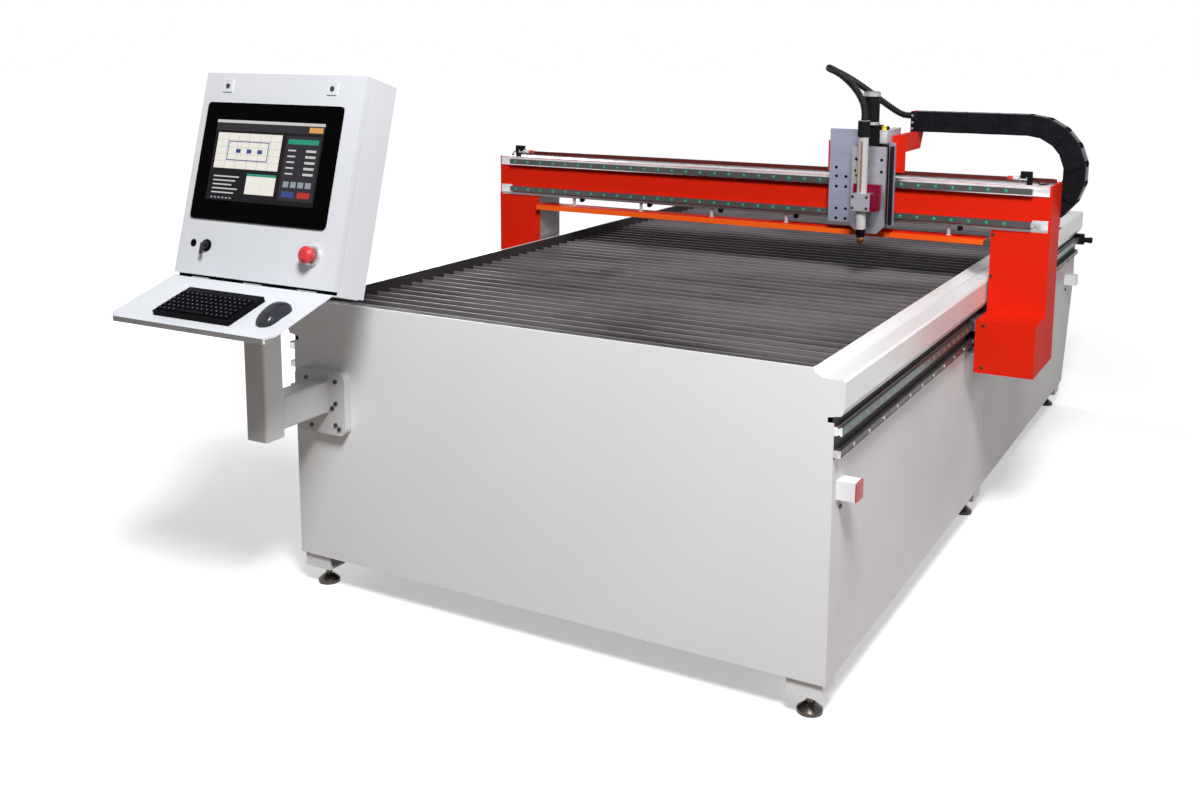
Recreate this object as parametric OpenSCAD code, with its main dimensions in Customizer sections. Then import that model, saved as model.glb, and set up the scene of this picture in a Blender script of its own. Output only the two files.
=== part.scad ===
/* [Table] */
// Width over the side panels
table_w = 1780; // [1600:10:2000]
// Length of the rails and their covers
table_l = 3600; // [3400:10:3900]
// Height of the rim above the floor
rim_h = 953; // [930:1:975]
// Height of the panels' lower edge above the floor
floor_gap = 112; // [100:1:130]
// Thickness of the panel sheet
sheet_t = 4; // [3:0.5:5]
// Overhang of the rails past the tank's lower rear edge
tail_l = 170; // [120:5:220]
// Depth below the rim where the slanted rear panel turns upright
tail_drop = 373; // [333:5:453]
// Width of the panels' folded flanges
flange_w = 40; // [30:1:50]

/* [Bed] */
// Thickness of a slat
slat_t = 5; // [3:0.5:6]
// Height of a slat
slat_h = 90; // [80:1:100]
// Distance from slat to slat
slat_pitch = 62; // [55:1:80]
// Depth of the slat tops below the rim
slat_drop = 31; // [25:1:40]
// Depth of the comb slots
slot_depth = 60; // [45:1:65]
// Thickness of a comb plate
comb_t = 6; // [4:1:10]
// Side of a square cross tube
cross_size = 60; // [50:1:70]
// Number of cross tubes
cross_n = 5; // [3:1:8]

/* [Rails and racks] */
// Width of a rail beam
frame_w = 50; // [45:1:60]
// Height of a rail beam
frame_h = 130; // [126:1:140]
// Depth of the rail beam's top below the rim
frame_drop = 103; // [100:1:108]
// Wall of the frame tubes
frame_wall = 5; // [3:0.5:8]
// Width of a table rail
rail_w = 23; // [20:1:26]
// Height of a table rail
rail_h = 22; // [20:0.5:23]
// Depth of the rail's centre line below the rim
rail_drop = 156; // [152:1:158]
// Side of the rack bar
rack_size = 20; // [18:0.5:21]
// Depth of the rack's centre line below the rim
rack_drop = 215; // [212:1:218]
// Module of the rack teeth
gear_module = 3; // [2.8:0.1:3.2]
// Teeth on a pinion
pinion_teeth = 14; // [14:1:15]
// Reach of the rail cover inside the table's side
cover_in = 59; // [57:1:62]
// Reach of the rail cover outside the table's side
cover_out = 27; // [25:0.5:28]
// Fall of the cover's sloped inner part
cover_drop = 22; // [18:1:26]
// Height of the cover's outer flange
cover_flange = 75; // [65:1:80]
// Thickness of the cover sheet
cover_t = 3; // [2:0.5:4]

/* [Feet] */
// Inset of a foot from the table's side
foot_inset = 60; // [56:1:70]
// Distance of the first foot from the front panel
foot_front = 60; // [56:1:80]
// Distance of the last foot from the lower rear edge
foot_rear = 60; // [56:1:80]
// Radius of the foot's pad
pad_r = 35; // [28:1:40]
// Thickness of the foot's pad
pad_h = 10; // [8:1:14]
// Radius of the threaded stud
stud_r = 10; // [8:0.5:12]
// Side of the foot bracket's plate
bracket_w = 100; // [90:1:108]
// Thickness of the foot bracket
bracket_t = 8; // [6:1:10]

/* [Console] */
// Distance of the console's middle from the table's left side
console_inset = 125; // [90:5:170]
// Reach of the door's lower edge in front of the panel
console_reach = 306; // [300:1:330]
// Height of the door's lower edge
console_z = 1059; // [1030:1:1080]
// Lean of the door, in degrees
console_tilt = 16.2; // [12:0.1:20]
// Width of the console
console_w = 620; // [600:1:660]
// Height of the door
console_h = 622; // [600:1:660]
// Depth of the console
console_d = 134; // [120:1:160]
// Length of the keyboard tray
tray_l = 260; // [250:1:300]
// Slope of the keyboard tray, in degrees
tray_tilt = 17; // [10:0.5:20]
// Side of the square post
post_w = 80; // [70:1:90]
// Height of the arm tube
arm_h = 100; // [80:1:110]
// Width of the monitor
monitor_w = 527; // [500:1:540]
// Height of the monitor
monitor_h = 354; // [330:1:380]
// Radius of the emergency stop's head
estop_r = 24; // [20:0.5:26]
// Pitch of the keyboard's keys
key_pitch = 18.2; // [17.5:0.1:19]
// Keys in a row
key_cols = 15; // [12:1:15]
// Rows of keys
key_rows = 6; // [4:1:6]

/* [Gantry] */
// Place of the gantry's front face along the table
gantry_y = 1520; // [1400:5:1700]
// Width of a leg over its covers
leg_w = 197; // [190:1:210]
// Height of the beam's underside above the rim
beam_gap = 165; // [159:1:177]
// Height of the beam
beam_h = 154; // [150:1:160]
// Depth of the beam
beam_d = 180; // [175:1:190]
// Wall of the beam tube
beam_wall = 8; // [5:1:10]
// Width of a beam rail
x_rail_w = 20; // [18:1:22]
// Height of a beam rail
x_rail_h = 20; // [18:0.5:20]
// Distance of the beam rails from the beam's ends
x_rail_end = 62; // [40:1:80]
// Thickness of a leg plate
leg_t = 15; // [12:1:16]
// Thickness of the leg covers' sheet
leg_cover_t = 3; // [2:0.5:4]
// How far the motor box stands forward of the beam
motor_box_l = 165; // [160:1:175]
// Depth of the motor box's lower edge below the rim
motor_box_drop = 313; // [305:1:323]
// Height of the motor box
motor_box_h = 182; // [178:1:190]
// Width of the shield strip
shield_h = 18; // [14:1:22]

/* [Cable chain] */
// Height of a link
chain_h = 74; // [70:1:78]
// Width of a link
chain_w = 80; // [70:1:84]
// Bend radius at the middle of a link
chain_r = 164; // [155:1:170]
// Links in the half turn
loop_links = 9; // [9:1:10]
// Links in the lower run
lower_links = 16; // [14:1:16]
// Distance of the half turn's middle from the beam's end
loop_inset = 128; // [100:1:160]

/* [Carriage and torch] */
// Place of the carriage's middle along the beam
carriage_x = 472; // [468:1:476]
// Width of the carriage plate
carriage_w = 240; // [234:1:246]
// Height of the carriage plate
carriage_h = 336; // [330:1:345]
// Thickness of the carriage plate
carriage_t = 12; // [10:1:12]
// Width of the Z plate
z_plate_w = 123; // [118:1:128]
// Height of the Z plate
z_plate_h = 308; // [300:1:312]
// Thickness of the Z plate
z_plate_t = 15; // [12:1:16]
// Radius of the Z motor
z_motor_r = 30; // [26:0.5:32]
// Radius of the lead screw
screw_r = 8; // [7:0.5:9]
// Radius of the torch barrel
torch_r = 18; // [16:0.5:19]
// Outer radius of the torch hose
hose_r = 13; // [11:0.5:14]
// Bore radius of the torch hose
hose_bore = 9; // [7:0.5:10]
// Ribs along the torch hose
hose_ribs = 90; // [60:1:110]

/* [Hidden] */
$fn = 48;

// Overrun of every cut, and clearances
over = 1;
slide_gap = 0.4;
run_gap = 0.1;
touch_gap = 0.3;

// Colours
white = [0.87, 0.88, 0.9];
red = [0.85, 0.17, 0.11];
steel = [0.55, 0.56, 0.6];
dark = [0.16, 0.16, 0.18];
black = [0.06, 0.06, 0.07];
bronze = [0.45, 0.4, 0.34];
crimson = [0.6, 0.06, 0.16];
copper = [0.75, 0.42, 0.26];

// Places on the table
half_w = table_w / 2;
console_x = console_inset - half_w;
tail_h = rim_h - tail_drop;
frame_top = rim_h - frame_drop;
frame_bottom = frame_top - frame_h;
frame_inner = half_w - frame_w;
rail_z = rim_h - rail_drop;
rack_z = rim_h - rack_drop;
tail_y = table_l - tail_l;
slat_top = rim_h - slat_drop;
slat_z = slat_top - slat_h;
comb_foot = 12;
cross_z = slat_z - comb_foot - cross_size;
rail_end = 40;
rail_start = 2;

// Places on the gantry
seat_t = 4;
seat_w = 32;
seat_edge = 4;
beam_y0 = gantry_y + seat_t;
beam_y1 = gantry_y + beam_d;
beam_z = rim_h + beam_gap;
motor_box_z = rim_h - motor_box_drop;
motor_box_top = motor_box_z + motor_box_h;
beam_top = beam_z + beam_h;
leg_gap = 6;
leg_in = half_w + cover_out + leg_gap;
block_stand = 40;
leg_x0 = half_w + block_stand;
leg_x1 = leg_x0 + leg_t;
leg_out = leg_in + leg_w;
gantry_w = 2 * leg_out;

// Pinion and rack teeth
tooth_pitch = PI * gear_module;
pitch_r = gear_module * pinion_teeth / 2;
tooth_root_share = 1.25;
flank_angle = 20;
backlash = 0.35;
pinion_tip_share = 0.35;
pinion_mid_share = 0.85;
pinion_root_share = 1.1;
drive_shift = 2.5;
drive_y = gantry_y - motor_box_l / 2 + drive_shift;
rack_tip_z = rack_z - rack_size / 2;
drive_z = rack_tip_z + gear_module - pitch_r;
shaft_r = 7;
motor_w = 86;
motor_l = 100;

// Helpers for folded sheet and long profiles
function turn90(v) = [-v[1], v[0]];
function unit(v) = v / norm(v);
function side(p, i) = turn90(unit(p[i + 1] - p[i]));
function miter(p, i) =
    i == 0 ? side(p, 0)
    : i == len(p) - 1 ? side(p, i - 1)
    : let (s = side(p, i - 1) + side(p, i)) s * (2 / (s * s));

// A bent sheet seen on edge: the path, thickened to its left
module folded(path, t) {
    last = len(path) - 1;
    polygon(concat(path, [for (i = [0 : last]) path[last - i] + t * miter(path, last - i)]));
}

// Profile in Y and Z, drawn out along +X
module along_x(l) {
    rotate([90, 0, 90]) linear_extrude(l) children();
}

// Profile in X and Z, drawn out along +Y
module along_y(l) {
    mirror([0, 1, 0]) rotate([90, 0, 0]) linear_extrude(l) children();
}

// The same piece on the right and on the left
module both_sides() {
    children();
    mirror([1, 0, 0]) children();
}

module ring(w, h, t) {
    difference() {
        square([w, h]);
        translate([t, t]) square([w - 2 * t, h - 2 * t]);
    }
}

// Profile rail: a bar with a waist, base on X = 0
rail_foot_share = 0.36;
rail_neck_share = 0.5;
rail_head_share = 0.7;
rail_waist_share = 0.38;
module rail_profile(w, h) {
    edge = [
        [0, w / 2], [h * rail_foot_share, w / 2], [h * rail_neck_share, w * rail_waist_share],
        [h * rail_head_share, w * rail_waist_share],
        [h * (rail_foot_share + rail_neck_share), w / 2], [h, w / 2]
    ];
    last = len(edge) - 1;
    polygon(concat(edge, [for (i = [0 : last]) [edge[last - i][0], -edge[last - i][1]]]));
}

// Rack bar along X with teeth down, its tips on Y = 0 and a gap centred on X = 0
module rack_profile(x0, x1, depth) {
    tip = tooth_pitch / 4 - gear_module * tan(flank_angle) - backlash;
    foot = tooth_pitch / 4 + gear_module * tooth_root_share * tan(flank_angle) - backlash;
    root = gear_module * (1 + tooth_root_share);
    k0 = ceil((x0 + foot) / tooth_pitch - 1 / 2);
    k1 = floor((x1 - foot) / tooth_pitch - 1 / 2);
    teeth = [
        for (k = [k0 : k1], p = [[-foot, root], [-tip, 0], [tip, 0], [foot, root]])
            [(k + 1 / 2) * tooth_pitch + p[0], p[1]]
    ];
    polygon(concat([[x0, depth], [x0, root]], teeth, [[x1, root], [x1, depth]]));
}

// Pinion outline with one tooth along +Y
module pinion_profile() {
    tip_r = pitch_r + gear_module;
    root_r = pitch_r - gear_module * tooth_root_share;
    quarter = tooth_pitch / 4;
    spots = [
        [-quarter * pinion_root_share, root_r], [-quarter * pinion_mid_share, pitch_r],
        [-quarter * pinion_tip_share, tip_r], [quarter * pinion_tip_share, tip_r],
        [quarter * pinion_mid_share, pitch_r], [quarter * pinion_root_share, root_r]
    ];
    polygon([
        for (k = [0 : pinion_teeth - 1], p = spots)
            let (a = -k * 360 / pinion_teeth)
                [p[0] * cos(a) - p[1] * sin(a), p[0] * sin(a) + p[1] * cos(a)]
    ]);
}

// Table: panels

cover_lip = 35;
cover_bend_share = 0.25;
cover_rise_share = 0.55;
cover_run = 28;
cover_round = 6;
cover_curl_w = 8;
cover_curl_h = 18;
cover_x0 = half_w - cover_in;
cover_x1 = half_w + cover_out;
cover_top = rim_h - cover_drop;
cover_path = [
    [cover_x0, rim_h - cover_lip], [cover_x0, rim_h],
    [cover_x0 + cover_run * cover_bend_share, rim_h - cover_drop * cover_rise_share],
    [cover_x0 + cover_run, cover_top], [cover_x1 - cover_round, cover_top],
    [cover_x1, cover_top - cover_round], [cover_x1, cover_top - cover_flange],
    [cover_x1 - cover_curl_w, cover_top - cover_flange - cover_curl_h]
];

notch_w = 17;
notch_h = 14;
cover_lift = 7;
notch_z = cover_top - cover_flange - cover_curl_h - notch_h - cover_lift;
lip_w = 25;
module front_panel() {
    edge = concat(
        [
            [half_w, floor_gap], [half_w, notch_z], [half_w - notch_w, notch_z],
            [half_w - notch_w, notch_z + notch_h]
        ],
        [for (i = [len(cover_path) - 1 : -1 : 1]) cover_path[i]]
    );
    last = len(edge) - 1;
    mirrored = [for (i = [0 : last]) [-edge[last - i][0], edge[last - i][1]]];
    color(white) union() {
        along_y(sheet_t) polygon(concat(edge, mirrored));
        translate([-cover_x0, sheet_t, rim_h - sheet_t])
            cube([2 * cover_x0, lip_w - sheet_t, sheet_t]);
        translate([-half_w + flange_w + touch_gap, sheet_t, floor_gap])
            cube([table_w - 2 * (flange_w + touch_gap), flange_w - sheet_t, sheet_t]);
    }
}

// The rear panel's bent line in Y and Z, from the foot to the frame
rear_line = [[tail_y, floor_gap], [table_l, tail_h], [table_l, frame_bottom - sheet_t]];
module rear_panel() {
    upper_w = 2 * (cover_x0 - touch_gap);
    upper_h = rim_h - frame_bottom + sheet_t - slat_drop;
    color(white) union() {
        translate([-half_w + sheet_t, 0, 0]) along_x(table_w - 2 * sheet_t)
            folded(concat([[tail_y - flange_w, floor_gap]], rear_line), sheet_t);
        translate([-upper_w / 2, table_l - sheet_t, frame_bottom - sheet_t])
            cube([upper_w, sheet_t, upper_h]);
    }
}

seam_gap = 2;
module side_panels() {
    skin = [
        [half_w - frame_w, frame_bottom], [half_w, frame_bottom], [half_w, floor_gap],
        [half_w - flange_w, floor_gap]
    ];
    room = rear_line[2][1] + sheet_t;
    back = sheet_t + touch_gap;
    seat_z = floor_gap + sheet_t;
    flange_end = tail_y - flange_w - touch_gap;
    color(white) both_sides() difference() {
        intersection() {
            along_y(table_l) folded(skin, -sheet_t);
            translate([half_w - frame_w - over, 0, 0]) along_x(frame_w + 2 * over) polygon([
                [sheet_t, floor_gap], [sheet_t, room], [table_l - back, room], [table_l - back, tail_h],
                [tail_y - back, seat_z], [flange_end, seat_z], [flange_end, floor_gap]
            ]);
        }
        translate([half_w - frame_w - over, tail_y / 2, floor_gap - over])
            cube([frame_w + 2 * over, seam_gap, room]);
    }
}

module tank_floor() {
    edge = 2 * sheet_t;
    color(dark) translate([-half_w + edge, edge, floor_gap + sheet_t])
        cube([table_w - 2 * edge, tail_y - flange_w, sheet_t]);
}

// Table: frame, bed, rails

module table_frame() {
    step = (table_l - sheet_t) / (cross_n + 1);
    color(dark) {
        both_sides() translate([frame_inner, sheet_t, frame_bottom])
            along_y(table_l - 2 * sheet_t) ring(frame_w, frame_h, frame_wall);
        for (i = [1 : cross_n])
            translate([-frame_inner + touch_gap, step * i, cross_z])
                along_x(2 * (frame_inner - touch_gap)) ring(cross_size, cross_size, frame_wall);
    }
}

slat_first = 90;
slat_n = floor((table_l - 2 * slat_first) / slat_pitch) + 1;
wall_gap = 6;
comb_edge = 20;
bed_wall_t = frame_inner - cover_x0 - cover_t;
bed_wall_end = 6;

// A comb plate in Y and Z, open at each slat
module comb_profile() {
    top = slat_z + slot_depth;
    half = slat_t / 2 + slide_gap;
    slots = [
        for (i = [0 : slat_n - 1], p = [[-half, top], [-half, slat_z], [half, slat_z], [half, top]])
            [slat_first + i * slat_pitch + p[0], p[1]]
    ];
    y0 = slat_first - comb_edge;
    y1 = slat_first + (slat_n - 1) * slat_pitch + comb_edge;
    low = cross_z + cross_size;
    polygon(concat([[y0, low], [y0, top]], slots, [[y1, top], [y1, low]]));
}

module slat_combs() {
    color(dark) {
        for (x = [-cover_x0 + comb_edge, 0, cover_x0 - comb_edge])
            translate([x - comb_t / 2, 0, 0]) along_x(comb_t) comb_profile();
        both_sides() translate([cover_x0 + cover_t, lip_w, cross_z + cross_size + over])
            cube([bed_wall_t, table_l - lip_w - sheet_t - bed_wall_end,
                rim_h - cover_drop - cross_z - cross_size - over]);
    }
}

module slats() {
    slat_l = 2 * (cover_x0 - wall_gap);
    color(dark) for (i = [0 : slat_n - 1])
        translate([-slat_l / 2, slat_first + i * slat_pitch - slat_t / 2, slat_z])
            cube([slat_l, slat_t, slat_h]);
}

module table_rails() {
    color(dark) both_sides() translate([half_w, rail_start, rail_z])
        along_y(table_l - rail_start - rail_end) rail_profile(rail_w, rail_h);
}

module table_racks() {
    rack_l = table_l - rail_start - rail_end;
    color(steel) both_sides() translate([half_w, 0, rack_tip_z]) along_x(rack_size)
        translate([drive_y, 0])
            rack_profile(rail_start - drive_y, rail_start + rack_l - drive_y, rack_size);
}

module rail_covers() {
    color(white) both_sides() translate([0, sheet_t, 0])
        along_y(table_l - sheet_t) folded(cover_path, -cover_t);
}

stop_l = 36;
stop_h = 50;
stop_w = 42;
module rail_stops() {
    color(black) both_sides()
        translate([half_w, table_l - stop_l - sheet_t / 2, rail_z - stop_h / 2])
            cube([stop_w, stop_l, stop_h]);
}

stub_w = 50;
stub_l = 50;
stub_wall = 3;
stub_cap = 5;
stub_drop = 345;
stub_z = rim_h - stub_drop;
stub_y = 35;
stub_rear = 270;
module side_stubs() {
    for (y = [stub_y, table_l - stub_rear]) both_sides() translate([half_w, y, stub_z]) {
        color(white) along_x(stub_l) ring(stub_w, stub_w, stub_wall);
        color(red) translate([stub_l, 0, 0]) cube([stub_cap, stub_w, stub_w]);
    }
}

// Feet

plate_z = 64;
stud_top = 104;
cone_h = 18;
cone_r = 14;
foot_ys = [foot_front, (foot_front + tail_y - foot_rear) / 2, tail_y - foot_rear];
foot_x = half_w - foot_inset;
module levelling_foot(side_sign, row) {
    color(bronze) translate([side_sign * foot_x, foot_ys[row], 0]) rotate_extrude() polygon([
        [0, 0], [pad_r, 0], [pad_r, pad_h], [cone_r, pad_h + cone_h], [stud_r, pad_h + cone_h],
        [stud_r, stud_top], [0, stud_top]
    ]);
}

module foot_front_left() { levelling_foot(-1, 0); }
module foot_front_right() { levelling_foot(1, 0); }
module foot_mid_left() { levelling_foot(-1, 1); }
module foot_mid_right() { levelling_foot(1, 1); }
module foot_rear_left() { levelling_foot(-1, 2); }
module foot_rear_right() { levelling_foot(1, 2); }

module foot_brackets() {
    wall_h = floor_gap - plate_z;
    color(white) for (row = [0 : 2]) both_sides() translate([foot_x, foot_ys[row], plate_z]) {
        difference() {
            union() {
                translate([-bracket_w / 2, -bracket_w / 2, 0]) cube([bracket_w, bracket_w, bracket_t]);
                translate([bracket_w / 2 - bracket_t, -bracket_w / 2, 0])
                    cube([bracket_t, bracket_w, wall_h]);
                translate([-bracket_w / 2, -bracket_w / 2, 0]) cube([bracket_w, bracket_t, wall_h]);
            }
            translate([0, 0, -over]) cylinder(r = stud_r + touch_gap, h = bracket_t + 2 * over);
        }
    }
}

// Console

console_y = -console_reach;
post_y = console_y + post_w / 2;
plate_w = 200;
plate_h = 200;
plate_t = 30;
plate_round = 25;
plate_low = 540;
arm_z = 610;
post_low = 588;
tube_wall = 5;
tube_round = 9;
tray_t = 3;
tray_corner = 26;
tray_lip = 14;
tray_flange = 110;
box_wall = 3;
door_t = 18;
door_skin = 2.5;
hinge_r = 3;
hinge_l = 70;
hinge_y = door_t / 2;
hinge_z = 6.5;
hinge_web = 3;
hinge_share = 0.67;
door_low = hinge_z + hinge_r + touch_gap;
box_gap = 3;
box_y = door_t + box_gap;

// Frame of the leaning console: X across, Y into the box, Z up the door
module console_place() {
    translate([console_x, console_y, console_z]) rotate([-console_tilt, 0, 0]) children();
}

// Frame of the tray: X across, Y up the slope, Z out of its face
module tray_place() {
    translate([console_x, console_y, console_z]) rotate([tray_tilt, 0, 0]) children();
}

// Outline with round corners, centred
module rounded(w, h, r) {
    square([w - 2 * r, h], center = true);
    square([w, h - 2 * r], center = true);
    for (x = [r - w / 2, w / 2 - r], y = [r - h / 2, h / 2 - r]) translate([x, y]) circle(r = r);
}

module tube_profile(w, h) {
    difference() {
        rounded(w, h, tube_round);
        rounded(w - 2 * tube_wall, h - 2 * tube_wall, tube_round - tube_wall);
    }
}

module console_stand() {
    reach = console_z;
    arm_l = -plate_t - post_y - post_w / 2;
    color(white) union() {
        translate([console_x, 0, plate_low + plate_h / 2]) rotate([90, 0, 0]) linear_extrude(plate_t)
            rounded(plate_w, plate_h, plate_round);
        translate([console_x, -plate_t + over, arm_z + arm_h / 2]) rotate([90, 0, 0])
            linear_extrude(arm_l + over + tube_wall) tube_profile(post_w, arm_h);
        translate([console_x, post_y, post_low]) linear_extrude(tube_wall)
            rounded(post_w, post_w, tube_round);
        difference() {
            translate([console_x, post_y, post_low]) linear_extrude(reach) tube_profile(post_w, post_w);
            console_place() translate([-reach, -reach, -tray_t]) cube(2 * reach);
        }
    }
}

module console_tray() {
    down = [0, -tray_lip];
    back = tray_flange * [cos(console_tilt), -sin(console_tilt)];
    front = tray_l * [-cos(tray_tilt), -sin(tray_tilt)];
    w = console_w / 2;
    depth = tray_l * cos(tray_tilt) + tray_t;
    color(white) union() {
        intersection() {
            translate([console_x - w, console_y, console_z]) along_x(console_w)
                folded([back, [0, 0], front, front + down], tray_t);
            translate([console_x, console_y, 0]) linear_extrude(2 * console_z) polygon([
                [-w, tray_flange], [-w, tray_corner - depth], [tray_corner - w, -depth],
                [w - tray_corner, -depth], [w, tray_corner - depth], [w, tray_flange]
            ]);
        }
        for (x = [-w, 0, w]) console_place() translate([x * hinge_share - hinge_l / 2, hinge_y, 0]) {
            translate([0, 0, hinge_z]) rotate([0, 90, 0]) cylinder(r = hinge_r, h = hinge_l);
            translate([0, -hinge_web / 2, -tray_t / 2]) cube([hinge_l, hinge_web, hinge_z + tray_t / 2]);
        }
    }
}

module console_box() {
    color(white) console_place() translate([-console_w / 2, box_y, 0]) difference() {
        cube([console_w, console_d - box_y, console_h]);
        translate([box_wall, -over, box_wall])
            cube([console_w - 2 * box_wall, console_d - box_y - box_wall + over, console_h - 2 * box_wall]);
    }
}

monitor_x = -16.5;
monitor_z = 177;
monitor_proud = 5;
monitor_d = 35;
monitor_round = 12;
screen_w = 424;
screen_h = 243;
screen_x = -21;
screen_z = 236;
screen_sink = 3;
estop_x = 216;
estop_z = 102;
estop_ring_r = 27;
estop_ring_h = 12;
estop_stem_r = 14;
estop_stem_l = 24;
estop_head_h = 18;
lock_x = -195;
lock_z = 99;
lock_ring_r = 15;
lock_ring_h = 8;
lock_r = 12;
key_bow_w = 11;
key_bow_h = 34;
key_t = 3;
key_l = 14;
latch_xs = [-214, 192];
latch_z = 582;
latch_pad = 36;
latch_pad_t = 3;
latch_r = 5;
latch_face_r = 7;
latch_face_t = 2;
cam_l = 34;
cam_w = 10;
cam_t = 3;
port_x = -250;
port_r = 9;

module console_door() {
    color(white) console_place() difference() {
        union() {
            translate([-console_w / 2, 0, door_low]) difference() {
                cube([console_w, door_t, console_h - door_low]);
                translate([door_skin, door_skin, door_skin])
                    cube([console_w - 2 * door_skin, door_t, console_h - door_low - 2 * door_skin]);
            }
            for (x = latch_xs) translate([x - latch_pad / 2, -latch_pad_t, latch_z - latch_pad / 2])
                cube([latch_pad, latch_pad_t + door_skin, latch_pad]);
        }
        translate([monitor_x, -over, monitor_z + monitor_h / 2]) along_y(door_t)
            rounded(monitor_w + 2 * slide_gap, monitor_h + 2 * slide_gap, monitor_round + slide_gap);
        for (x = latch_xs) facing(x, latch_z) cylinder(r = latch_r + run_gap, h = 2 * door_t, center = true);
        facing(estop_x, estop_z) cylinder(r = estop_stem_r + slide_gap, h = 2 * door_t, center = true);
        facing(lock_x, lock_z) cylinder(r = lock_r + run_gap, h = 2 * door_t, center = true);
        facing(port_x, estop_z) cylinder(r = port_r, h = 2 * door_t, center = true);
    }
}

// Stands a round piece on the door's face at X, Z, its axis out of the door
module facing(x, z) {
    translate([x, 0, z]) rotate([90, 0, 0]) children();
}

module monitor() {
    color(black) console_place() difference() {
        translate([monitor_x, -monitor_proud, monitor_z + monitor_h / 2]) along_y(monitor_d)
            rounded(monitor_w, monitor_h, monitor_round);
        translate([screen_x - screen_w / 2, -monitor_proud - over, screen_z])
            cube([screen_w, screen_sink + over, screen_h]);
    }
}

module switch_bezels() {
    color(steel) console_place() {
        facing(estop_x, estop_z) difference() {
            cylinder(r = estop_ring_r, h = estop_ring_h);
            translate([0, 0, -over])
                cylinder(r = estop_stem_r + slide_gap, h = estop_ring_h + 2 * over);
        }
        facing(lock_x, lock_z) difference() {
            cylinder(r = lock_ring_r, h = lock_ring_h);
            translate([0, 0, -over]) cylinder(r = lock_r + run_gap, h = lock_ring_h + 2 * over);
        }
    }
}

estop_dome_share = 0.62;
module estop_button() {
    stem_z = estop_ring_h + estop_head_h * estop_dome_share - estop_stem_l + slide_gap;
    head_z = stem_z + estop_stem_l;
    color(red) console_place() facing(estop_x, estop_z) rotate_extrude() polygon([
        [0, stem_z], [estop_stem_r, stem_z], [estop_stem_r, head_z], [estop_r, head_z],
        [estop_r, head_z + estop_head_h * estop_dome_share],
        [estop_r * estop_dome_share, head_z + estop_head_h], [0, head_z + estop_head_h]
    ]);
}

module key() {
    color(steel) console_place() facing(lock_x, lock_z) union() {
        cylinder(r = lock_r, h = lock_ring_h + over);
        translate([-key_t / 2, -key_bow_w / 2, lock_ring_h]) cube([key_t, key_bow_w, key_l]);
        translate([-key_bow_w / 2, key_bow_w / 2 - key_bow_h, lock_ring_h + key_l - key_t])
            cube([key_bow_w, key_bow_h, key_t]);
    }
}

module latch(x) {
    front = latch_pad_t + touch_gap;
    shaft_l = door_t + front + touch_gap;
    color(black) console_place() facing(x, latch_z) union() {
        translate([0, 0, front]) cylinder(r = latch_face_r, h = latch_face_t);
        translate([0, 0, front - shaft_l]) cylinder(r = latch_r, h = shaft_l + over);
        translate([-cam_w / 2, -cam_w / 2, front - shaft_l - cam_t]) cube([cam_w, cam_l, cam_t + over]);
    }
}
module latch_left() { latch(latch_xs[0]); }
module latch_right() { latch(latch_xs[1]); }

keyboard_x = -13;
keyboard_y = -226;
keyboard_band = 24;
keyboard_edge = 7;
keyboard_h = 15;
key_well = 6;
key_gap = 0.8;
key_h = 9;
key_rest = 3;
keyboard_w = key_cols * key_pitch + 2 * keyboard_edge;
keyboard_d = key_rows * key_pitch + 2 * keyboard_edge + keyboard_band;
module keyboard_base() {
    color(black) tray_place() translate([keyboard_x - keyboard_w / 2, keyboard_y, touch_gap]) difference() {
        cube([keyboard_w, keyboard_d, keyboard_h]);
        translate([keyboard_edge, keyboard_edge, keyboard_h - key_well])
            cube([key_cols * key_pitch, key_rows * key_pitch, key_well + over]);
    }
}

// Cells of a key, in pitches: the space bar fills the middle of the front row
bar_from = 4;
bar_to = 9;
module keyboard_keys() {
    z = touch_gap + keyboard_h - key_well + key_rest;
    color(dark) tray_place()
        translate([keyboard_x - keyboard_w / 2 + keyboard_edge, keyboard_y + keyboard_edge, z])
            for (row = [0 : key_rows - 1], col = [0 : key_cols - 1])
                if (row > 0 || col <= bar_from || col > bar_to) {
                    cells = row == 0 && col == bar_from ? bar_to - bar_from + 1 : 1;
                    translate([col * key_pitch + key_gap / 2, row * key_pitch + key_gap / 2, 0])
                        cube([cells * key_pitch - key_gap, key_pitch - key_gap, key_h]);
                }
}

mouse_x = 228;
mouse_y = -150;
mouse_w = 62;
mouse_l = 118;
mouse_h = 34;
mouse_round = 12;
mouse_crown = 10;
module mouse() {
    color(dark) tray_place() translate([mouse_x, mouse_y, touch_gap]) hull() {
        for (s = [-1, 1]) {
            translate([s * (mouse_w / 2 - mouse_round), mouse_l / 2 - mouse_round, 0])
                cylinder(r = mouse_round, h = mouse_h / 3, $fn = 24);
            translate([s * (mouse_w / 2 - mouse_round), -mouse_l / 2 + mouse_round, 0])
                cylinder(r = mouse_round, h = mouse_h / 2, $fn = 24);
            translate([s * mouse_crown, -mouse_crown, mouse_h - mouse_round])
                sphere(r = mouse_round, $fn = 24);
        }
    }
}

// Gantry

end_plate_t = 8;
guard_t = 3;
x_rack_y = 120;
x_rack_h = 14;
module gantry_beam() {
    inner_w = gantry_w - 2 * end_plate_t;
    color(red) union() {
        translate([-inner_w / 2, 0, 0]) along_x(inner_w) {
            translate([beam_y0, beam_z]) ring(beam_d - seat_t, beam_h, beam_wall);
            for (z = [beam_z + seat_edge, beam_top - seat_edge - seat_w])
                translate([gantry_y, z]) square([seat_t + over, seat_w]);
            translate([gantry_y + x_rack_y - guard_t, beam_top - over]) square([guard_t, x_rack_h + over]);
        }
        both_sides() translate([inner_w / 2, beam_y0, beam_z])
            cube([end_plate_t, beam_d - seat_t, beam_h]);
    }
}

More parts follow.
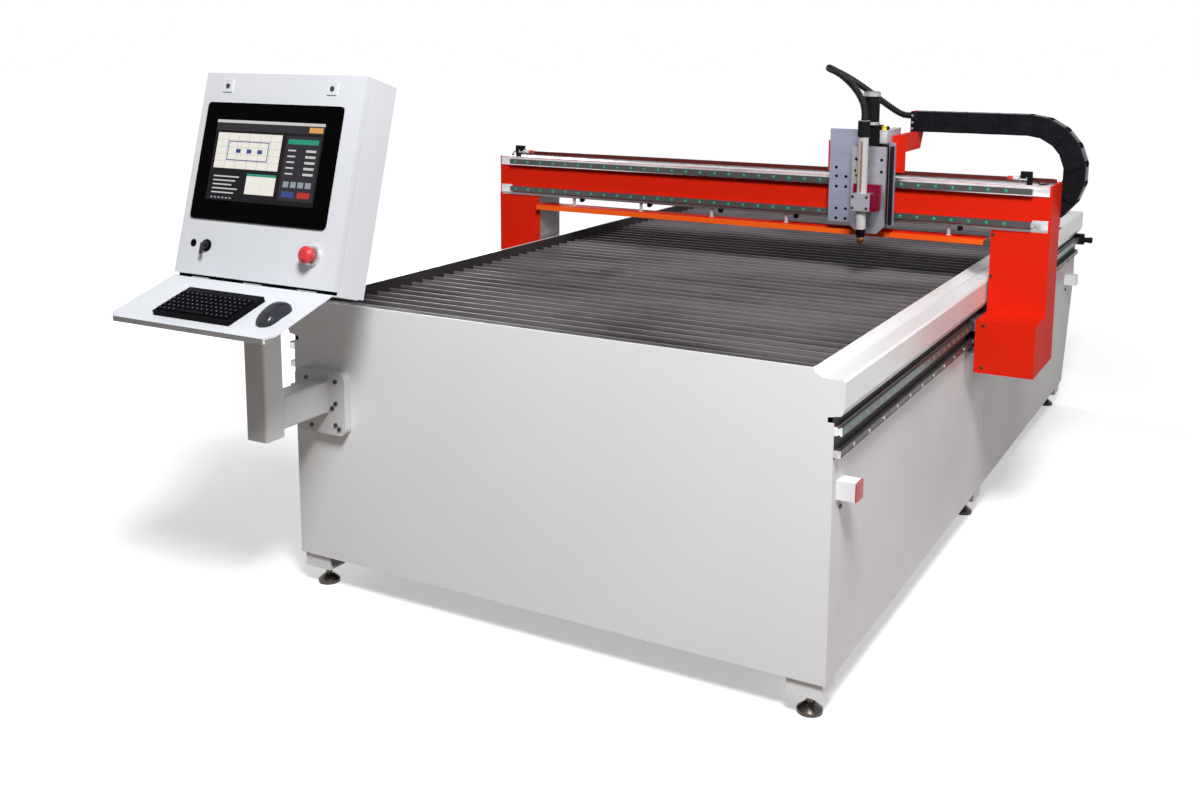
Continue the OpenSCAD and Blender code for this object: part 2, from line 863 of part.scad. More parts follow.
module beam_rails() {
    x_rail_l = gantry_w - 2 * x_rail_end;
    color(dark) for (z = [beam_z + seat_edge + seat_w / 2, beam_top - seat_edge - seat_w / 2])
        translate([-x_rail_l / 2, gantry_y, z]) along_x(x_rail_l) rotate(180)
            rail_profile(x_rail_w, x_rail_h);
}

x_rack_end = 20;
x_rack_tip = gantry_y + x_rack_y + rack_size;
x_drive_y = x_rack_tip - gear_module + pitch_r;
x_drive_shift = 42;
x_drive_x = carriage_x - x_drive_shift;
module beam_rack() {
    half_l = gantry_w / 2 - x_rack_end;
    color(steel) translate([x_drive_x, x_rack_tip, beam_top]) linear_extrude(x_rack_h)
        mirror([0, 1]) rack_profile(-half_l - x_drive_x, half_l - x_drive_x, rack_size);
}

leg_back = 10;
leg_y0 = gantry_y - motor_box_l + leg_back;
leg_y1 = beam_y1 - leg_back;
leg_step_z = motor_box_top - 2 * leg_back;
leg_lift = 22;
leg_low = motor_box_z + leg_lift;
upright_y = 40;
hub_r = 22;
module gantry_legs() {
    post_x = leg_out - leg_cover_t - leg_x1;
    upright_d = leg_y1 - gantry_y - upright_y;
    color(steel) both_sides() difference() {
        union() {
            translate([leg_x0, 0, 0]) along_x(leg_t) polygon([
                [leg_y0, leg_low], [leg_y1, leg_low], [leg_y1, beam_z],
                [gantry_y + leg_back, beam_z], [gantry_y + leg_back, leg_step_z], [leg_y0, leg_step_z]
            ]);
            translate([leg_x1, gantry_y + upright_y, leg_step_z]) linear_extrude(beam_z - leg_step_z)
                ring(post_x, upright_d, frame_wall);
        }
        translate([leg_x0 - over, drive_y, drive_z]) rotate([0, 90, 0])
            cylinder(r = hub_r, h = leg_t + 2 * over);
    }
}

// Sheet cover of a leg: a front, a side and the top of the motor box, open behind and inside
module leg_covers() {
    t = leg_cover_t;
    w = leg_out - leg_in;
    y1 = beam_y1 - leg_back;
    box_y0 = gantry_y - motor_box_l;
    color(red) both_sides() difference() {
        union() {
            translate([leg_in, gantry_y, motor_box_z]) cube([w, y1 - gantry_y, beam_z - motor_box_z]);
            translate([leg_in, box_y0, motor_box_z])
                cube([w, y1 - box_y0, motor_box_top - motor_box_z]);
        }
        translate([leg_in - over, gantry_y + t, motor_box_z - over])
            cube([w - t + over, y1 - gantry_y, beam_z - motor_box_z + 2 * over]);
        translate([leg_in - over, box_y0 + t, motor_box_z - over])
            cube([w - t + over, y1 - box_y0, motor_box_top - motor_box_z - t + over]);
    }
}

block_l = 84;
block_w = 42;
block_foot = 3;
block_front = 20;
module gantry_blocks() {
    reach = block_stand - block_foot;
    color(steel) both_sides()
        for (y = [leg_y0 + block_front, leg_y1 - block_front - block_l]) difference() {
            translate([half_w + block_foot, y, rail_z - block_w / 2]) cube([reach, block_l, block_w]);
            translate([half_w, y - over, rail_z - rail_w / 2 - slide_gap])
                cube([rail_h + slide_gap, block_l + 2 * over, rail_w + 2 * slide_gap]);
        }
}

motor_bore = 30;
motor_round_share = 0.08;
module motor_body(w, l, bore) {
    c = w * motor_round_share;
    h = w / 2;
    difference() {
        linear_extrude(l) polygon([
            [-h + c, -h], [h - c, -h], [h, -h + c], [h, h - c],
            [h - c, h], [-h + c, h], [-h, h - c], [-h, -h + c]
        ]);
        translate([0, 0, -over]) cylinder(r = shaft_r + run_gap, h = bore + over);
    }
}

module gantry_motors() {
    color(black) both_sides() translate([leg_x1, drive_y, drive_z]) rotate([0, 90, 0])
        motor_body(motor_w, motor_l, motor_bore);
}

// Pinion on its motor shaft, axis along +Z from the toothed face
module pinion(face, shaft_l) {
    linear_extrude(face) pinion_profile();
    translate([0, 0, face - over]) cylinder(r = shaft_r, h = shaft_l + over);
}

pinion_side = 1;
module side_pinion() {
    shaft_l = leg_x1 - half_w - rack_size + motor_bore - 2 * over;
    color(steel) translate([half_w + pinion_side, drive_y, drive_z]) rotate([90, 0, 90])
        pinion(rack_size - pinion_side, shaft_l);
}
module pinion_right() { side_pinion(); }
module pinion_left() { mirror([1, 0, 0]) side_pinion(); }

shield_end = 1;
shield_short = 18;
shield_drop = 58;
shield_z = beam_z - shield_drop;
shield_y = 12;
shield_d = 42;
hanger_r = 5;
knob_r = 9;
knob_l = 14;
knob_shift = 42;
hanger_shares = [-0.826, -0.49, -0.155, 0.178, 0.839];
module shield_strip() {
    shield_x0 = shield_end - leg_in;
    shield_x1 = leg_in - shield_short;
    back_y = gantry_y + shield_y;
    color(red) {
        union() {
            translate([shield_x0, 0, 0]) along_x(shield_x1 - shield_x0) folded([
                [back_y - shield_d, shield_z], [back_y - shield_d, shield_z + shield_h],
                [back_y + shield_y, shield_z + shield_h]
            ], -leg_cover_t);
            for (k = hanger_shares) translate([k * leg_in, back_y, shield_z + shield_h - over])
                cylinder(r = hanger_r, h = beam_z - shield_z - shield_h + over);
        }
        for (k = hanger_shares) translate([k * leg_in + knob_shift, back_y, beam_z - knob_l])
            cylinder(r = knob_r, h = knob_l);
    }
}

shelf_t = 3;
shelf_gap = 10;
shelf_up = 40;
shelf_l = 1070;
shelf_end = 10;
chain_y = beam_y1 + shelf_gap + shelf_t;
loop_rise = 181;
loop_z = beam_z + loop_rise;
link_pitch = PI * chain_r / loop_links;
loop_mid_r = link_pitch / (2 * tan(90 / loop_links));
loop_pivot_r = link_pitch / (2 * sin(90 / loop_links));
upper_z = loop_z + loop_pivot_r;
lower_z = loop_z - loop_pivot_r;
shelf_z = lower_z - chain_h / 2 - touch_gap;
stop_post_w = 17;
stop_post_h = 46;
stop_head_w = 38;
stop_head_h = 24;
stop_inset = 72;
module beam_brackets() {
    color(black) {
        translate([gantry_w / 2 - shelf_end - shelf_l, 0, 0]) along_x(shelf_l) folded([
            [beam_y1, shelf_z + shelf_up], [beam_y1, shelf_z - shelf_t],
            [chain_y + chain_w + shelf_gap, shelf_z - shelf_t]
        ], shelf_t);
        both_sides() translate([gantry_w / 2 - stop_inset - stop_post_w, gantry_y + shelf_gap, beam_top]) {
            cube([stop_post_w, stop_post_w, stop_post_h]);
            translate([stop_post_w - stop_head_w, 0, stop_post_h - stop_head_h])
                cube([stop_head_w, stop_post_w, stop_head_h]);
        }
    }
}

// Cable chain: frame links, alternate ones narrower so that their plates lap

link_t = 5;
link_nose = 12;
link_bar_share = 0.36;
bar_t = 4;
chain_shift = 119;
upper_end = carriage_x + chain_shift;
upper_links = round((gantry_w / 2 - loop_inset - upper_end) / link_pitch);
loop_x = upper_end + upper_links * link_pitch;
module link(narrow) {
    inset = narrow ? link_t + touch_gap : 0;
    bar_l = link_pitch * link_bar_share;
    for (y = [inset, chain_w - inset - link_t]) translate([0, y, 0]) along_y(link_t) {
        square([link_pitch, chain_h], center = true);
        for (x = [-link_pitch / 2, link_pitch / 2]) translate([x, 0]) intersection() {
            circle(r = chain_h / 2);
            square([2 * link_nose, chain_h], center = true);
        }
    }
    for (z = [-chain_h / 2, chain_h / 2 - bar_t])
        translate([-bar_l / 2, inset + link_t - over, z])
            cube([bar_l, chain_w - 2 * inset - 2 * link_t + 2 * over, bar_t]);
}

module chain_upper() {
    color(black) for (i = [0 : upper_links - 1])
        translate([upper_end + (i + 1 / 2) * link_pitch, chain_y, upper_z]) link(i % 2 == 1);
}

module chain_loop() {
    color(black) for (i = [0 : loop_links - 1])
        translate([loop_x, chain_y, loop_z]) rotate([0, (i + 1 / 2) * 180 / loop_links, 0])
            translate([0, 0, loop_mid_r]) link((upper_links + i) % 2 == 1);
}

module chain_lower() {
    first = upper_links + loop_links;
    color(black) for (i = [0 : lower_links - 1])
        translate([loop_x - (i + 1 / 2) * link_pitch, chain_y, lower_z]) link((first + i) % 2 == 1);
}

// Carriage

x_block_stand = 46;
plate_back = gantry_y - x_block_stand;
plate_front = plate_back - carriage_t;
plate_hang = 9;
plate_z0 = beam_z - plate_hang;
z_shift = 44;
z_x = carriage_x + z_shift;
z_hang = 22;
z_low = beam_z - z_hang;
z_body_h = 297;
head_w = 62;
head_z = z_low + z_body_h;
sensor_lift = 9;
module carriage_plate() {
    x0 = carriage_x - carriage_w / 2;
    x1 = carriage_x + carriage_w / 2;
    step_x = z_x + head_w / 2 - touch_gap;
    step_z = head_z + sensor_lift - touch_gap;
    top = plate_z0 + carriage_h;
    color(steel) translate([0, plate_front, 0]) along_y(carriage_t) polygon([
        [x0, plate_z0], [x1, plate_z0], [x1, step_z], [step_x, step_z], [step_x, top], [x0, top]
    ]);
}

x_block_l = 76;
x_block_w = 30;
x_block_gap = 8;
x_block_inset = 20;
module carriage_blocks() {
    depth = x_block_stand - x_block_gap;
    channel_d = x_rail_h + slide_gap;
    channel_w = x_rail_w + 2 * slide_gap;
    color(steel) for (z = [beam_z + seat_edge + seat_w / 2, beam_top - seat_edge - seat_w / 2])
        for (s = [-1, 1]) difference() {
            translate([
                carriage_x + s * (carriage_w / 2 - x_block_inset - x_block_l / 2) - x_block_l / 2,
                plate_back, z - x_block_w / 2
            ]) cube([x_block_l, depth, x_block_w]);
            translate([carriage_x - carriage_w / 2, gantry_y - channel_d, z - channel_w / 2])
                cube([carriage_w, channel_d, channel_w]);
        }
}

bridge_t = 10;
bridge_w = 120;
bridge_rise = 24;
x_motor_w = 80;
x_motor_l = 86;
bridge_z = beam_top + bridge_rise;
module x_drive() {
    color(black) {
        difference() {
            translate([x_drive_x - bridge_w / 2, plate_back, bridge_z])
                cube([bridge_w, x_drive_y + x_motor_w / 2 - plate_back, bridge_t]);
            translate([x_drive_x, x_drive_y, bridge_z - over])
                cylinder(r = hub_r, h = bridge_t + 2 * over);
        }
        translate([x_drive_x, x_drive_y, bridge_z + bridge_t])
            motor_body(x_motor_w, x_motor_l, motor_bore);
    }
}

x_pinion_lift = 2;
module x_pinion() {
    face = x_rack_h - x_pinion_lift;
    shaft_l = bridge_rise - x_rack_h + bridge_t + motor_bore - 2 * over;
    color(steel) translate([x_drive_x, x_drive_y, beam_top + x_pinion_lift]) rotate(180)
        pinion(face, shaft_l);
}

arm_t = 6;
arm_shift = 128;
arm_drop = 64;
arm_slant = 38;
arm_front = 75;
strap_shift = 105;
strap_w = 47;
strap_lift = 179;
strap_z = beam_z + strap_lift;
ear_shift = 130;
ear_w = 24;
ear_lift = 174;
ear_z = beam_z + ear_lift;
ear_h = 109;
arm_z1 = upper_z - chain_h / 2;
gland_t = 6;
hose_end_x = upper_end - link_nose - gland_t - touch_gap;

// Arm that carries the chain's end, on a strap behind the carriage plate, and an ear on the other side
module chain_bracket() {
    strap_x = carriage_x + strap_shift;
    arm_x1 = carriage_x + arm_shift;
    arm_y1 = chain_y + chain_w;
    color(red) {
        union() {
            translate([strap_x, plate_back, strap_z]) cube([strap_w, arm_t, arm_z1 - strap_z]);
            translate([0, 0, arm_z1 - arm_t]) linear_extrude(arm_t) polygon([
                [strap_x, plate_back], [arm_x1, plate_back], [arm_x1, arm_y1],
                [hose_end_x, arm_y1], [hose_end_x, chain_y], [strap_x, chain_y]
            ]);
            translate([arm_x1 - arm_t, 0, 0]) along_x(arm_t) polygon([
                [plate_back, arm_z1], [plate_back + arm_front, arm_z1 - arm_drop],
                [arm_y1 - arm_slant, arm_z1 - arm_drop], [arm_y1, arm_z1]
            ]);
            translate([hose_end_x, chain_y, arm_z1 - arm_t]) cube([gland_t, chain_w, chain_h + arm_t]);
        }
        translate([carriage_x - ear_shift, plate_back, ear_z]) cube([ear_w, arm_t, ear_h]);
    }
}

// Z axis: a housing with two ways, a screw between them, the sliding plate in front

z_body_w = 104;
z_body_d = 22;
way_w = 18;
way_l = 22;
end_h = 14;
head_h = 72;
sensor_w = 26;
sensor_d = 166;
sensor_h = 32;
way_front = plate_front - z_body_d - way_l;
screw_y = way_front + way_l / 2;
module z_housing() {
    color(dark) difference() {
        union() {
            translate([z_x - z_body_w / 2, plate_front - z_body_d, z_low])
                cube([z_body_w, z_body_d, z_body_h]);
            for (x = [z_x - z_body_w / 2, z_x + z_body_w / 2 - way_w])
                translate([x, way_front, z_low]) cube([way_w, way_l, z_body_h]);
            for (z = [z_low, head_z - end_h])
                translate([z_x - z_body_w / 2, way_front + touch_gap, z])
                    cube([z_body_w, way_l - touch_gap, end_h]);
            translate([z_x - head_w / 2, way_front, head_z]) cube([head_w, plate_front - way_front, head_h]);
        }
        translate([z_x, screw_y, z_low + end_h / 2]) cylinder(r = screw_r + run_gap, h = z_body_h + end_h);
    }
    color(steel) translate([z_x + head_w / 2, way_front, head_z + sensor_lift])
        cube([sensor_w, sensor_d, sensor_h]);
}

flange_t = 10;
z_motor_l = 90;
z_cap_l = 16;
z_motor_shift = 4;
z_motor_y = (way_front + plate_front) / 2 - z_motor_shift;
module z_motor() {
    base = head_z + head_h;
    color(black) translate([z_x - z_cap_l / 2, z_motor_y, base]) union() {
        cylinder(r = z_motor_r + touch_gap, h = flange_t);
        cylinder(r = z_motor_r - over, h = flange_t + z_motor_l);
        translate([0, 0, flange_t + z_motor_l - over]) cylinder(r = z_motor_r, h = z_cap_l);
    }
}

module z_screw() {
    color(steel) translate([z_x, screw_y, z_low + end_h / 2 + touch_gap])
        cylinder(r = screw_r, h = z_body_h + touch_gap);
}

nut_w = 60;
nut_h = 70;
nut_lift = 166;
corner_cut = 26;
z_plate_hang = 35;
z_plate_z = beam_z - z_plate_hang;
z_plate_back = way_front - touch_gap;
z_plate_front = z_plate_back - z_plate_t;
module z_plate() {
    w = z_plate_w / 2;
    color(steel) difference() {
        union() {
            translate([z_x, z_plate_front, z_plate_z]) along_y(z_plate_t) polygon([
                [-w + corner_cut, 0], [w - corner_cut, 0], [w, corner_cut],
                [w, z_plate_h], [-w, z_plate_h], [-w, corner_cut]
            ]);
            translate([z_x - nut_w / 2, z_plate_back - over, z_low + nut_lift])
                cube([nut_w, way_l + over - slide_gap, nut_h]);
        }
        translate([z_x, screw_y, z_low]) cylinder(r = screw_r + slide_gap, h = z_body_h);
    }
}

torch_shift = 35;
torch_x = carriage_x + torch_shift;
torch_stand = 40;
torch_y = z_plate_front - torch_stand;
break_w = 96;
break_d = 18;
break_h = 70;
break_lift = 70;
break_z = beam_z + break_lift;
clamp_w = 88;
clamp_shift = 17;
clamp_h = 60;
clamp_lift = 52;
clamp_z = beam_z + clamp_lift;
clamp_cap = 14;
clamp_split = 4;
module breakaway_block() {
    color(crimson) translate([z_x - break_w / 2, z_plate_front - break_d, break_z])
        cube([break_w, break_d, break_h]);
}

module torch_clamp() {
    y0 = torch_y - torch_r - clamp_cap;
    color(steel) difference() {
        translate([torch_x + clamp_shift - clamp_w / 2, y0, clamp_z])
            cube([clamp_w, z_plate_front - break_d - y0, clamp_h]);
        translate([torch_x, torch_y, clamp_z - over]) cylinder(r = torch_r, h = clamp_h + 2 * over);
        translate([torch_x - clamp_w, torch_y - clamp_split / 2, clamp_z - over])
            cube([2 * clamp_w, clamp_split, clamp_h + 2 * over]);
    }
}

torch_hang = 16;
torch_low = beam_z - torch_hang;
torch_h = 326;
collar_r = 20;
collar_h = 56;
tip_h = 28;
nozzle_h = 24;
tip_r_share = 0.9;
tip_neck_share = 0.6;
nozzle_r_share = 0.45;
nozzle_end_share = 0.22;
module torch_body() {
    color(white) translate([torch_x, torch_y, torch_low]) union() {
        cylinder(r = torch_r, h = torch_h);
        translate([0, 0, torch_h]) cylinder(r = collar_r, h = collar_h);
    }
}

module torch_tip() {
    r = torch_r * tip_r_share;
    neck = torch_r * tip_neck_share;
    color(copper) translate([torch_x, torch_y, torch_low]) rotate_extrude() polygon([
        [0, 0], [r, 0], [r, -tip_h / 2], [neck, -tip_h], [torch_r * nozzle_r_share, -tip_h],
        [torch_r * nozzle_r_share, -tip_h - nozzle_h / 3], [torch_r * nozzle_end_share, -tip_h - nozzle_h],
        [0, -tip_h - nozzle_h]
    ]);
}

// Torch hose: a ribbed tube along a hand-chosen route from the torch's collar to the chain bracket
hose_route = [
    [0, 0, 0], [0, 0, 28], [-6, 1, 56], [-20, 4, 84], [-44, 10, 114], [-76, 22, 141], [-112, 42, 161],
    [-147, 74, 172], [-173, 116, 176], [-185, 162, 172], [-179, 208, 162], [-159, 250, 146],
    [-132, 285, 124], [-98, 316, 96], [-64, 342, 66], [-28, 366, 36], [0, 382, 15], [20, 389, 4]
];
hose_start = [torch_x, torch_y, torch_low + torch_h + collar_h];
hose_lift = 20;
hose_goal = [hose_end_x, chain_y + chain_w / 2, upper_z + hose_lift];
hose_lead = 28;
hose_points = concat(
    [for (p = hose_route) hose_start + p],
    [hose_goal - [hose_lead, 0, 0], hose_goal]
);

// Smooth curve through the points: t counts points
function spot(p, i) = p[min(max(i, 0), len(p) - 1)];
function curve(p, t) =
    let (i = min(floor(t), len(p) - 2), u = t - i)
    let (a = spot(p, i - 1), b = p[i], c = p[i + 1], d = spot(p, i + 2))
        (2 * b + (c - a) * u + (2 * a - 5 * b + 4 * c - d) * u * u + (3 * b - a - 3 * c + d) * u * u * u) / 2;
hose_rings = 2 * hose_ribs;
hose_sides = 8;
hose_dip_share = 0.86;
hose_spots = [for (i = [0 : hose_rings]) curve(hose_points, i * (len(hose_points) - 1) / hose_rings)];
function heading(i) =
    i == 0 ? [0, 0, 1]
    : i == hose_rings ? [1, 0, 0]
    : unit(hose_spots[i + 1] - hose_spots[i - 1]);
function level(v, t) = unit(v - (v * t) * t);
hose_frames = [
    for (i = 0, n = [1, 0, 0]; i <= hose_rings; i = i + 1, n = level(n, heading(min(i, hose_rings)))) n
];
function hose_ring(i, r) = [
    for (k = [0 : hose_sides - 1])
        let (a = 360 * k / hose_sides, n = hose_frames[i], b = cross(heading(i), n))
            hose_spots[i] + r * (cos(a) * n + sin(a) * b)
];
hose_skips = ceil(hose_rings / 6);
hose_gaps = [
    for (i = [0 : 2 : hose_rings - hose_skips - 1], j = [i + hose_skips : 2 : hose_rings])
        norm(hose_spots[i] - hose_spots[j]) - 2 * hose_r
];
echo("least gap of the torch hose to itself", min(hose_gaps));

module torch_hose() {
    s = hose_sides;
    n = hose_rings + 1;
    outer = [for (i = [0 : hose_rings]) each hose_ring(i, i % 2 == 0 ? hose_r * hose_dip_share : hose_r)];
    inner = [for (i = [0 : hose_rings]) each hose_ring(i, hose_bore)];
    walls = [
        for (i = [0 : hose_rings - 1], k = [0 : s - 1])
            let (a = i * s + k, b = i * s + (k + 1) % s)
                each [[a, b, b + s], [a, b + s, a + s]]
    ];
    bores = [for (f = walls) [f[2] + n * s, f[1] + n * s, f[0] + n * s]];
    ends = [
        for (k = [0 : s - 1])
            let (a = k, b = (k + 1) % s, c = hose_rings * s)
                each [
                    [b, a, a + n * s], [b, a + n * s, b + n * s],
                    [a + c, b + c, b + c + n * s], [a + c, b + c + n * s, a + c + n * s]
                ]
    ];
    color(black) polyhedron(concat(outer, inner), [for (f = concat(walls, bores, ends)) [f[2], f[1], f[0]]]);
}

front_panel();
rear_panel();
side_panels();
tank_floor();
table_frame();
slat_combs();
slats();
table_rails();
table_racks();
rail_covers();
foot_brackets();
side_stubs();
rail_stops();
foot_front_left();
foot_front_right();
foot_mid_left();
foot_mid_right();
foot_rear_left();
foot_rear_right();
console_stand();
console_tray();
console_box();
keyboard_base();
keyboard_keys();
mouse();
console_door();
monitor();
switch_bezels();
estop_button();
key();
latch_left();
latch_right();
gantry_beam();
beam_rails();
beam_rack();
gantry_legs();
leg_covers();
gantry_blocks();
gantry_motors();
pinion_left();
pinion_right();
shield_strip();
beam_brackets();
chain_lower();
chain_loop();
chain_upper();
carriage_plate();
carriage_blocks();
x_drive();
x_pinion();
chain_bracket();
z_housing();
z_motor();
z_screw();
z_plate();
breakaway_block();
torch_clamp();
torch_body();
torch_tip();
torch_hose();
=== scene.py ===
import math

import bmesh
import bpy
from mathutils import Matrix, Vector


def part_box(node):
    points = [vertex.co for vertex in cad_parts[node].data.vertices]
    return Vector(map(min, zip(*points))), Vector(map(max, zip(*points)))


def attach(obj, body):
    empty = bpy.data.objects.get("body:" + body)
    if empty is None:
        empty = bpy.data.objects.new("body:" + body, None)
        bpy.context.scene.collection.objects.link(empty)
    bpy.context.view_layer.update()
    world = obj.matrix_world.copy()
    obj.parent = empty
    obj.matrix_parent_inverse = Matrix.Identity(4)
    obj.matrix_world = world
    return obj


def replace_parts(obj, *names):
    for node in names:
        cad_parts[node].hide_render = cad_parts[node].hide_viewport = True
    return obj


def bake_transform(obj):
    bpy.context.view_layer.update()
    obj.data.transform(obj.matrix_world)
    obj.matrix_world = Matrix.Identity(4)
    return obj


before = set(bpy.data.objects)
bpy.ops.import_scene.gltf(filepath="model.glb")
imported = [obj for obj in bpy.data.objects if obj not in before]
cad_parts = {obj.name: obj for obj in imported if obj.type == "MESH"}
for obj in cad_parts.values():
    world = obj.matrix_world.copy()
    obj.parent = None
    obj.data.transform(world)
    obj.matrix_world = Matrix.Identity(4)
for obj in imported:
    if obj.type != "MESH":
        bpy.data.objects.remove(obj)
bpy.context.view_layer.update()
scene = bpy.context.scene
MM = 0.001


def linked(name, data):
    o = bpy.data.objects.new(name, data)
    scene.collection.objects.link(o)
    return o


# Camera

IMAGE_W, IMAGE_H = 1200, 800
FOCAL_PX = 1269.5
CENTRE_V = 244
SENSOR_W, CLIP_END = 36, 200
EYE = Vector((1.8754, -2.9453, 1.7633))
YAW, PITCH, ROLL = 0.512, 0.1607, -0.0031


def make_camera():
    data = bpy.data.cameras.new("camera")
    cam = linked("camera", data)
    data.sensor_width = SENSOR_W
    data.lens = FOCAL_PX / IMAGE_W * SENSOR_W
    data.shift_y = -(IMAGE_H / 2 - CENTRE_V) / IMAGE_W
    data.clip_end = CLIP_END
    ahead = Vector((-math.sin(YAW) * math.cos(PITCH), math.cos(YAW) * math.cos(PITCH), -math.sin(PITCH)))
    right = Vector((math.cos(YAW), math.sin(YAW), 0))
    down = ahead.cross(right)
    right = math.cos(ROLL) * right + math.sin(ROLL) * down
    up = right.cross(ahead)
    turn = Matrix((right, up, -ahead)).transposed()
    cam.matrix_world = Matrix.Translation(EYE) @ turn.to_4x4()
    scene.camera = cam


make_camera()


# Materials

BUMP_DEEP = 0.001


def node_tree(name):
    m = bpy.data.materials.new(name)
    m.use_nodes = True
    return m, m.node_tree, m.node_tree.nodes["Principled BSDF"]


def fill(node, values):
    for key, value in values.items():
        node.inputs[key].default_value = value


def noise_on(t, scale, detail, stretch=None):
    source = t.nodes.new("ShaderNodeTexCoord").outputs["Object"]
    tex = t.nodes.new("ShaderNodeTexNoise")
    fill(tex, {"Scale": scale, "Detail": detail})
    if stretch:
        mapping = t.nodes.new("ShaderNodeMapping")
        fill(mapping, {"Scale": stretch})
        t.links.new(source, mapping.inputs["Vector"])
        source = mapping.outputs["Vector"]
    t.links.new(source, tex.inputs["Vector"])
    return tex.outputs["Fac"]


def ramp(t, source, low, high, a, b):
    r = t.nodes.new("ShaderNodeMapRange")
    fill(r, {"From Min": low, "From Max": high, "To Min": a, "To Max": b})
    t.links.new(source, r.inputs["Value"])
    return r.outputs["Result"]


def combine(t, operation, a, b):
    m = t.nodes.new("ShaderNodeMath")
    m.operation = operation
    t.links.new(a, m.inputs[0])
    t.links.new(b, m.inputs[1])
    return m.outputs[0]


def mix_colour(t, factor, a, b):
    """Mix of two colours, each a tuple or a socket."""
    m = t.nodes.new("ShaderNodeMix")
    m.data_type = "RGBA"
    t.links.new(factor, m.inputs["Factor"])
    for key, value in (("A", a), ("B", b)):
        socket = [s for s in m.inputs if s.name == key and s.type == "RGBA"][0]
        if isinstance(value, tuple):
            socket.default_value = (*value, 1)
        else:
            t.links.new(value, socket)
    return [s for s in m.outputs if s.type == "RGBA"][0]


def roughen(t, bsdf, height, strength):
    b = t.nodes.new("ShaderNodeBump")
    fill(b, {"Strength": strength, "Distance": BUMP_DEEP})
    t.links.new(height, b.inputs["Height"])
    t.links.new(b.outputs["Normal"], bsdf.inputs["Normal"])


def finish(
    name, scale, rough, colour, other=None, metal=0.0, grain=900, bump=0.05, stretch=None, dirt=None,
    specular=0.5,
):
    """A painted, plastic or metal finish: a mottled colour, uneven gloss and a fine bumpy grain."""
    m, t, bsdf = node_tree(name)
    other = other or tuple(c * 0.9 for c in colour)
    broad = noise_on(t, scale, 5, stretch)
    shade = ramp(t, broad, 0.35, 0.65, 0, 1)
    out = mix_colour(t, shade, colour, other)
    if dirt:
        spots = noise_on(t, scale * 4.3, 8, stretch)
        amount = ramp(t, spots, 0.56, 0.74, 0, 0.6)
        out = mix_colour(t, amount, out, dirt)
    t.links.new(out, bsdf.inputs["Base Color"])
    gloss = noise_on(t, scale * 2.1, 3, stretch)
    t.links.new(ramp(t, gloss, 0.3, 0.7, *rough), bsdf.inputs["Roughness"])
    fill(bsdf, {"Metallic": metal, "Specular IOR Level": specular})
    roughen(t, bsdf, noise_on(t, grain, 2, stretch), bump)
    return m


def glow(name, colour):
    """Lit part of the screen, slightly uneven."""
    m, t, bsdf = node_tree(name)
    factor = ramp(t, noise_on(t, 90, 1), 0.3, 0.7, 0, 1)
    tint = mix_colour(t, factor, colour, tuple(c * 0.93 for c in colour))
    t.links.new(tint, bsdf.inputs["Emission Color"])
    fill(bsdf, {"Emission Strength": 1.0, "Base Color": (0.002, 0.002, 0.002, 1)})
    fill(bsdf, {"Roughness": 0.25, "Specular IOR Level": 0.04})
    return m


# Painted shade: a slat is drawn bright at its top edge and fades to a dark colour lower down, where the slat
# in front would shade it.
SLAT_TOP, SLAT_SHADE_FADE = 0.922, 0.03
SLAT_BRIGHT, SLAT_PAINTED_SHADE, SLAT_RUST = (0.215, 0.197, 0.21), (0.042, 0.037, 0.041), (0.075, 0.05, 0.042)


def slat_steel():
    """Cutting slat: spattered along its top edge, with rust stains, and painted shade that darkens it further
    down, where the slat in front would shade it.
    """
    m, t, bsdf = node_tree("slat_steel")
    coord = t.nodes.new("ShaderNodeTexCoord")
    split = t.nodes.new("ShaderNodeSeparateXYZ")
    t.links.new(coord.outputs["Object"], split.inputs["Vector"])
    broad = noise_on(t, 5, 6, (0.35, 1, 5))
    uneven = ramp(t, broad, 0.3, 0.7, -SLAT_SHADE_FADE / 2, SLAT_SHADE_FADE / 2)
    level = combine(t, "ADD", split.outputs["Z"], uneven)
    # Painted shade mask: 0 low on the slat, 1 at its top edge, a little uneven along it.
    height = ramp(t, level, SLAT_TOP - SLAT_SHADE_FADE, SLAT_TOP, 0, 1)
    spatter = noise_on(t, 55, 6)
    stains = noise_on(t, 2.6, 5, (1, 1, 0.2))
    out = mix_colour(t, height, SLAT_PAINTED_SHADE, SLAT_BRIGHT)
    rusty = ramp(t, stains, 0.6, 0.75, 0, 0.55)
    t.links.new(mix_colour(t, rusty, out, SLAT_RUST), bsdf.inputs["Base Color"])
    t.links.new(ramp(t, spatter, 0.3, 0.7, 0.42, 0.62), bsdf.inputs["Roughness"])
    fill(bsdf, {"Metallic": 0.3})
    roughen(t, bsdf, spatter, 0.3)
    return m


